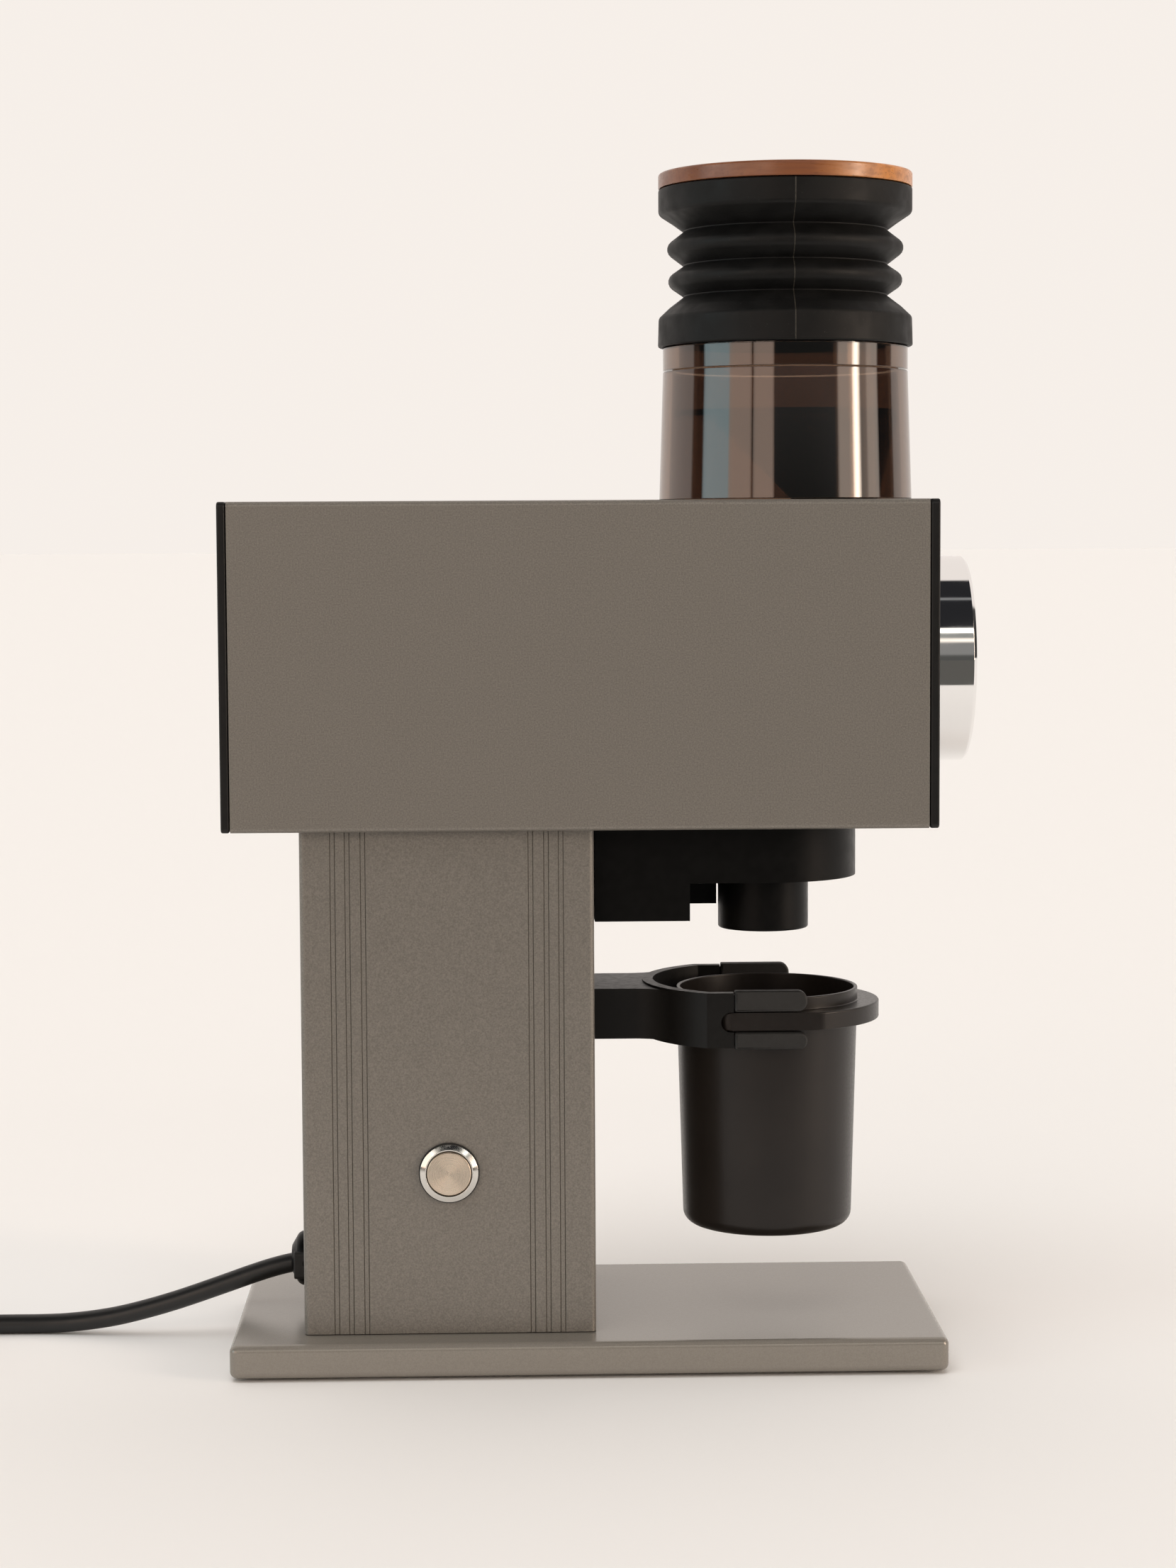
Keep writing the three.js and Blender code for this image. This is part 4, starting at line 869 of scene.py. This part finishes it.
def lid():
    profile = rounded([(0, 361.3), (36.9, 361.3, 0.5), (36.9, 366.3), (39.9, 366.3, 0.3), (39.9, 371.0, 0.8),
                       (30, 371.0), (15, 371.0), (0, 371.0)])
    put("lid_wooden_disc", on_hopper(profile, 128), "lid", "wood", ["wood_lid"])


# ---------------------------------------------------------------- chute, fork, cup


def chute():
    """An upper block with a round front, a near and a longer far block under it, and the spout."""
    rear, middle, half = COLUMN_FRONT + 0.5, 52.75, 29.25
    arc = [(middle + half * math.cos(t), half * math.sin(t)) for t in
           [math.pi * (k / 48 - 0.5) for k in range(49)]]
    upper = slab([(rear, -half), *arc, (rear, half)], 150, HEAD["z0"] - GAP)
    near = slab(rectangle(rear, 27.45, -half, 18), 138.3, 151)
    far = slab(rectangle(rear, 38.75, 17, half), 138.3, 151)
    bore = rod(13, 130, 173, CHUTE_X, 64)
    body = merge(merge(upper, near), far)
    body = softened(merge(body, bore, how="DIFFERENCE"), 0.7, 3)
    put("chute_cover", body, "stand", "black_plastic", ["chute_housing"])
    spout = closed_ring([(12.8, 132.85), (14.4, 132.85, 0.7), (14.4, 149.7), (12.8, 149.7)])
    put("chute_nozzle", lathe(spout, place=(CHUTE_X, 0, 0)), "stand", "black_plastic", ["chute_spout"])


def fork_outline(radius, flat, front, steps=40):
    """An arc round the cup's axis that runs out forwards into two straight sides at y = -flat and flat."""
    reach = math.sqrt(radius * radius - flat * flat)
    start = math.atan2(flat, -reach)
    line = [(front, flat), (CUP_X - reach, flat)]
    sweep = 2 * math.pi - 2 * start
    for k in range(1, steps):
        t = start + sweep * k / steps
        line.append((CUP_X + radius * math.cos(t), radius * math.sin(t)))
    return [*line, (CUP_X - reach, -flat), (front, -flat)]


def fork_bar(steps=12):
    """The bar from the column to the ring, which it meets in a fillet at each side."""
    half, fillet = 17.7, 14
    cy = half + fillet
    cx = CUP_X - math.sqrt((FORK_R + fillet) ** 2 - cy * cy)
    sweep = math.atan2(-cy, CUP_X - cx)
    start = COLUMN_FRONT + GAP
    line = [(start, -half)]
    for k in range(steps + 1):
        t = math.pi / 2 + (-sweep - math.pi / 2) * k / steps
        line.append((cx + fillet * math.cos(t), -cy + fillet * math.sin(t)))
    line.append((CUP_X, 0))
    for k in range(steps + 1):
        t = sweep + (-math.pi / 2 - sweep) * k / steps
        line.append((cx + fillet * math.cos(t), cy + fillet * math.sin(t)))
    return [*line, (start, half)]


def fork():
    """A ring open to the front, slotted at half height for the cup's flange, with a grip on each prong."""
    z0, z1, slot0, slot1, slot_r = 99.0, 116.2, 103.85, 110.15, 36.6
    ring = slab(fork_outline(FORK_R, 33.8, 63.0), z0, z1)
    bar = slab(fork_bar(), 99.7, 115.6)
    opening = slab(fork_outline(slot_r, 30.5, 83.0), z0 - 5, z1 + 5)
    recess = rod(slot_r, slot0, slot1, CUP_X, 96)
    middle, radius = (slot0 + slot1) / 2, (slot1 - slot0) / 2
    turn = [(39.95 + radius * math.cos(t), middle + radius * math.sin(t))
            for t in [math.pi * (0.5 + k / 24) for k in range(25)]]
    slot = slab([*turn, (90, slot0), (90, slot1)], -50, 50, "y")
    trims = []
    for side in (-1, 1):
        y0, y1 = sorted((side * 20, side * 45))
        inner, outer = sorted((side * 31.4, side * 32.9))
        skirt = slab(rectangle(40.75, 83, y0, y1), 90, 125)
        upper = slab(rectangle(40, 61.5, inner, outer), slot1 + 1.2, z1 - 0.7)
        lower = slab(rectangle(40, 61.5, inner, outer), z0 + 0.7, slot0 - 1.2)
        trims.append(merge(skirt, upper, lower, how="DIFFERENCE"))
    body = merge(merge(ring, bar), opening, recess, slot, *trims, how="DIFFERENCE")
    put("cup_holder", softened(body, 0.45, 2), "stand", "black_panel", ["cup_fork"], "fork")
    levels = {"upper": (slot1 + 0.1, z1 + 0.6), "lower": (z0 - 0.6, slot0 - 0.1)}
    for level, (low, high) in levels.items():
        for side, sign in (("near", -1), ("far", 1)):
            r = (high - low) * 0.45
            corners = [(41.05, low, 0.5), (63.6, low, r), (63.6, high, r), (41.05, high, 0.5)]
            outline = rounded(corners, closed=True, steps=8)
            y0, y1 = sorted((sign * 30.0, sign * 34.2))
            grip = slab(outline, y0, y1, "y", bevel=0.7, steps=4)
            put(f"prong_grip_{level}_{side}", grip, "stand", "grip", [f"fork_grip_{level}_{side}"])


def cup():
    """A cup with a flange that is cut flat at both sides, to run between the fork's prongs."""
    def flattened(p):
        return Vector((p.x, max(-CUP_FLAT, min(CUP_FLAT, p.y)), p.z))

    flange_r, low, high, rim = 35.8, 104.2, 109.8, 113.85
    profile = rounded([(0, 37.3), (26.9, 37.3, 4.2), (28.78, low, 0.2), (flange_r, low, 0.35),
                       (flange_r, high, 0.5), (29, high, 0.3), (29, rim, 0.4), (27.8, rim, 0.4),
                       (25.7, 42.3, 3), (22.7, 39.3), (0, 39.3)], steps=7)
    mesh = lathe(profile, place=(CUP_X, 0, 0), segments=192, shape=flattened)
    put("dosing_cup_shell", mesh, "cup", "cup_coat", ["dosing_cup"])


def cable_gland():
    """A dome round the cord, and a small block across it."""
    wall = COLUMN["x0"] - GAP
    at = (0, 0, GLAND_Z)
    dome = rounded([(0, GLAND_X), (4.2, GLAND_X, 1.2), (GLAND_R, GLAND_X + 2.6, 3.2), (GLAND_R, wall),
                    (6.3, wall), (6.3, wall + 9), (0, wall + 9)], steps=8)
    put("cord_gland", lathe(dome, "x", at), "stand", "black_plastic", ["cable_gland"])
    block = rounded([(-8.7, -5.2, 1.2), (8.7, -5.2, 1.2), (8.7, 3.6, 1.2), (-8.7, 3.6, 1.2)], closed=True)
    key = slab(block, GLAND_X + 1.0, wall - 0.05, "x", at, bevel=0.5)
    put("cord_gland_key", key, "stand", "black_plastic", look="grip")


for build in (base_and_feet, column, push_button, head, base_screws, dial_knob, hopper, funnel, bellows,
              lid, chute, fork, cup, cable_gland):
    build()

# ---------------------------------------------------------------- stage and lights


def make_floor(size=40, sheet_end=-0.43, room=(0.1, 0.1, 0.095)):
    """A plain pale sheet. In mirror reflections the room's floor is darker beyond the sheet's near end."""
    mesh = bpy.data.meshes.new("floor")
    corners = [(-size, -size, 0), (size, -size, 0), (size, size, 0), (-size, size, 0)]
    mesh.from_pydata(corners, [], [(0, 1, 2, 3)])
    obj = bpy.data.objects.new("floor", mesh)
    scene.collection.objects.link(obj)
    look = Look("floor", (0.867, 0.853, 0.836), 0.9, Specular_IOR_Level=0.0)
    beyond = look.steps(look.axes()["Y"], 1, 0, sheet_end, sheet_end + 0.01)
    mirrored = look.add("ShaderNodeLightPath").outputs["Is Glossy Ray"]
    look.paint(look.compute("MULTIPLY", beyond, mirrored), look.color, room)
    mesh.materials.append(look.mat)


def band(start, end, color, soft=1.0):
    """Two stops of a ramp from -180 to 180 degrees that hold a colour from start to end."""
    return [((start + soft + 180) / 360, color), ((end - soft + 180) / 360, color)]


def make_world():
    """Plain pale to the camera. Round the object it has the panels and dark gaps of a small studio."""
    world = bpy.data.worlds.new("studio")
    scene.world = world
    world.use_nodes = True
    tree = world.node_tree
    tree.nodes.clear()

    def add(kind, *inputs, **fields):
        return add_node(tree, kind, dict(enumerate(inputs)), **fields)

    def compute(operation, *values):
        return add("ShaderNodeMath", *values, operation=operation).outputs[0]

    def ramp(angle, *bands):
        """Colours by angle (radians, -pi to pi)."""
        share = add("ShaderNodeMapRange", angle, -math.pi, math.pi, 0.0, 1.0).outputs[0]
        node = add("ShaderNodeValToRGB", share)
        elements = node.color_ramp.elements
        node.color_ramp.interpolation = "LINEAR"
        while len(elements) > 1:
            elements.remove(elements[-1])
        stops = [stop for pair in bands for stop in pair]
        elements[0].position = stops[0][0]
        elements[0].color = (*stops[0][1], 1)
        for position, color in stops[1:]:
            elements.new(position).color = (*color, 1)
        return node.outputs["Color"]

    x, y, z = add("ShaderNodeSeparateXYZ", add("ShaderNodeTexCoord").outputs["Generated"]).outputs[:3]
    towards = compute("MULTIPLY", y, -1.0)
    azimuth = compute("ARCTAN2", x, towards)  # from the near side, positive to the right
    rise = compute("ARCSINE", z)
    pitch = compute("ARCTAN2", z, towards)  # from the near side, over the top to the far side

    white, dark = (0.9, 0.83, 0.78), (0.05, 0.047, 0.045)
    dim, black = (0.085, 0.085, 0.08), (0.02, 0.02, 0.022)
    bluish, brown = (1.55, 2.0, 2.1), (2.0, 1.55, 1.28)
    grey, bright, faint = (2.4, 2.0, 1.7), (19.0, 15.5, 12.5), (1.2, 1.0, 0.85)
    around = ramp(azimuth, band(-100, -86, dark), band(-86, -58, bluish), band(-58, -36, brown),
                  band(-36, -34.5, dark, 0.3), band(-34.5, -15, brown), band(-15, 44, dark),
                  band(44, 61, grey, 2), band(60, 68, bright, 3), band(68, 76, faint), band(76, 90, grey),
                  band(90, 112, dark))
    on, off = (1, 1, 1), (0, 0, 0)
    sides = ramp(azimuth, band(-180, -100, off), band(-100, -15, on), band(-15, 44, off), band(44, 112, on),
                 band(112, 180, off))
    tall = ramp(rise, band(-180, -6, off), band(-6, 26, on), band(26, 180, off))
    over = ramp(pitch, band(-180, -28, white), band(-28, 5, dim), band(6, 20, (0.24, 0.235, 0.225)),
                band(20.5, 23.5, (1.4, 1.25, 1.1), 0.7), band(24, 31, (0.3, 0.3, 0.28)),
                band(31, 35, (3.0, 2.9, 2.7), 0.7), band(35, 71, black), band(71, 73, (0.3, 0.3, 0.3), 0.6),
                band(73, 99.5, black), band(100, 180, white))
    panels = compute("MULTIPLY", sides, tall)
    studio = add_node(tree, "ShaderNodeMix", {0: panels, 6: over, 7: around}, data_type="RGBA").outputs[2]
    seen = add("ShaderNodeBackground", (0.925, 0.866, 0.815, 1), 1.0).outputs[0]
    room = add("ShaderNodeBackground", studio, 1.0).outputs[0]
    is_camera = add("ShaderNodeLightPath").outputs["Is Camera Ray"]
    add("ShaderNodeOutputWorld", add("ShaderNodeMixShader", is_camera, room, seen).outputs[0])


def make_suns():
    for name, turn, tilt, power, spread in SUNS:
        data = bpy.data.lights.new(name, "SUN")
        data.energy = power
        data.angle = math.radians(spread)
        data.color = (1.0, 0.985, 0.97)
        light = bpy.data.objects.new(name, data)
        scene.collection.objects.link(light)
        toward = Matrix.Rotation(math.radians(turn), 3, "Z") @ Matrix.Rotation(math.radians(tilt), 3, "X")
        light.rotation_euler = toward.to_euler()
        light.visible_glossy = False


make_floor()
scene.view_settings.view_transform = "Standard"
make_world()
make_suns()

# The CAD nodes that no piece replaces, such as those inside, show with their own slot's look.
SLOTS = {subpart["node"]: subpart["material_slot"] for subpart in frame["record"]["subparts"]}
for node_name, node in frame["nodes"].items():
    node.data.materials.clear()
    node.data.materials.append(LOOK["silicone" if node_name == "bellows" else SLOTS[node_name]])
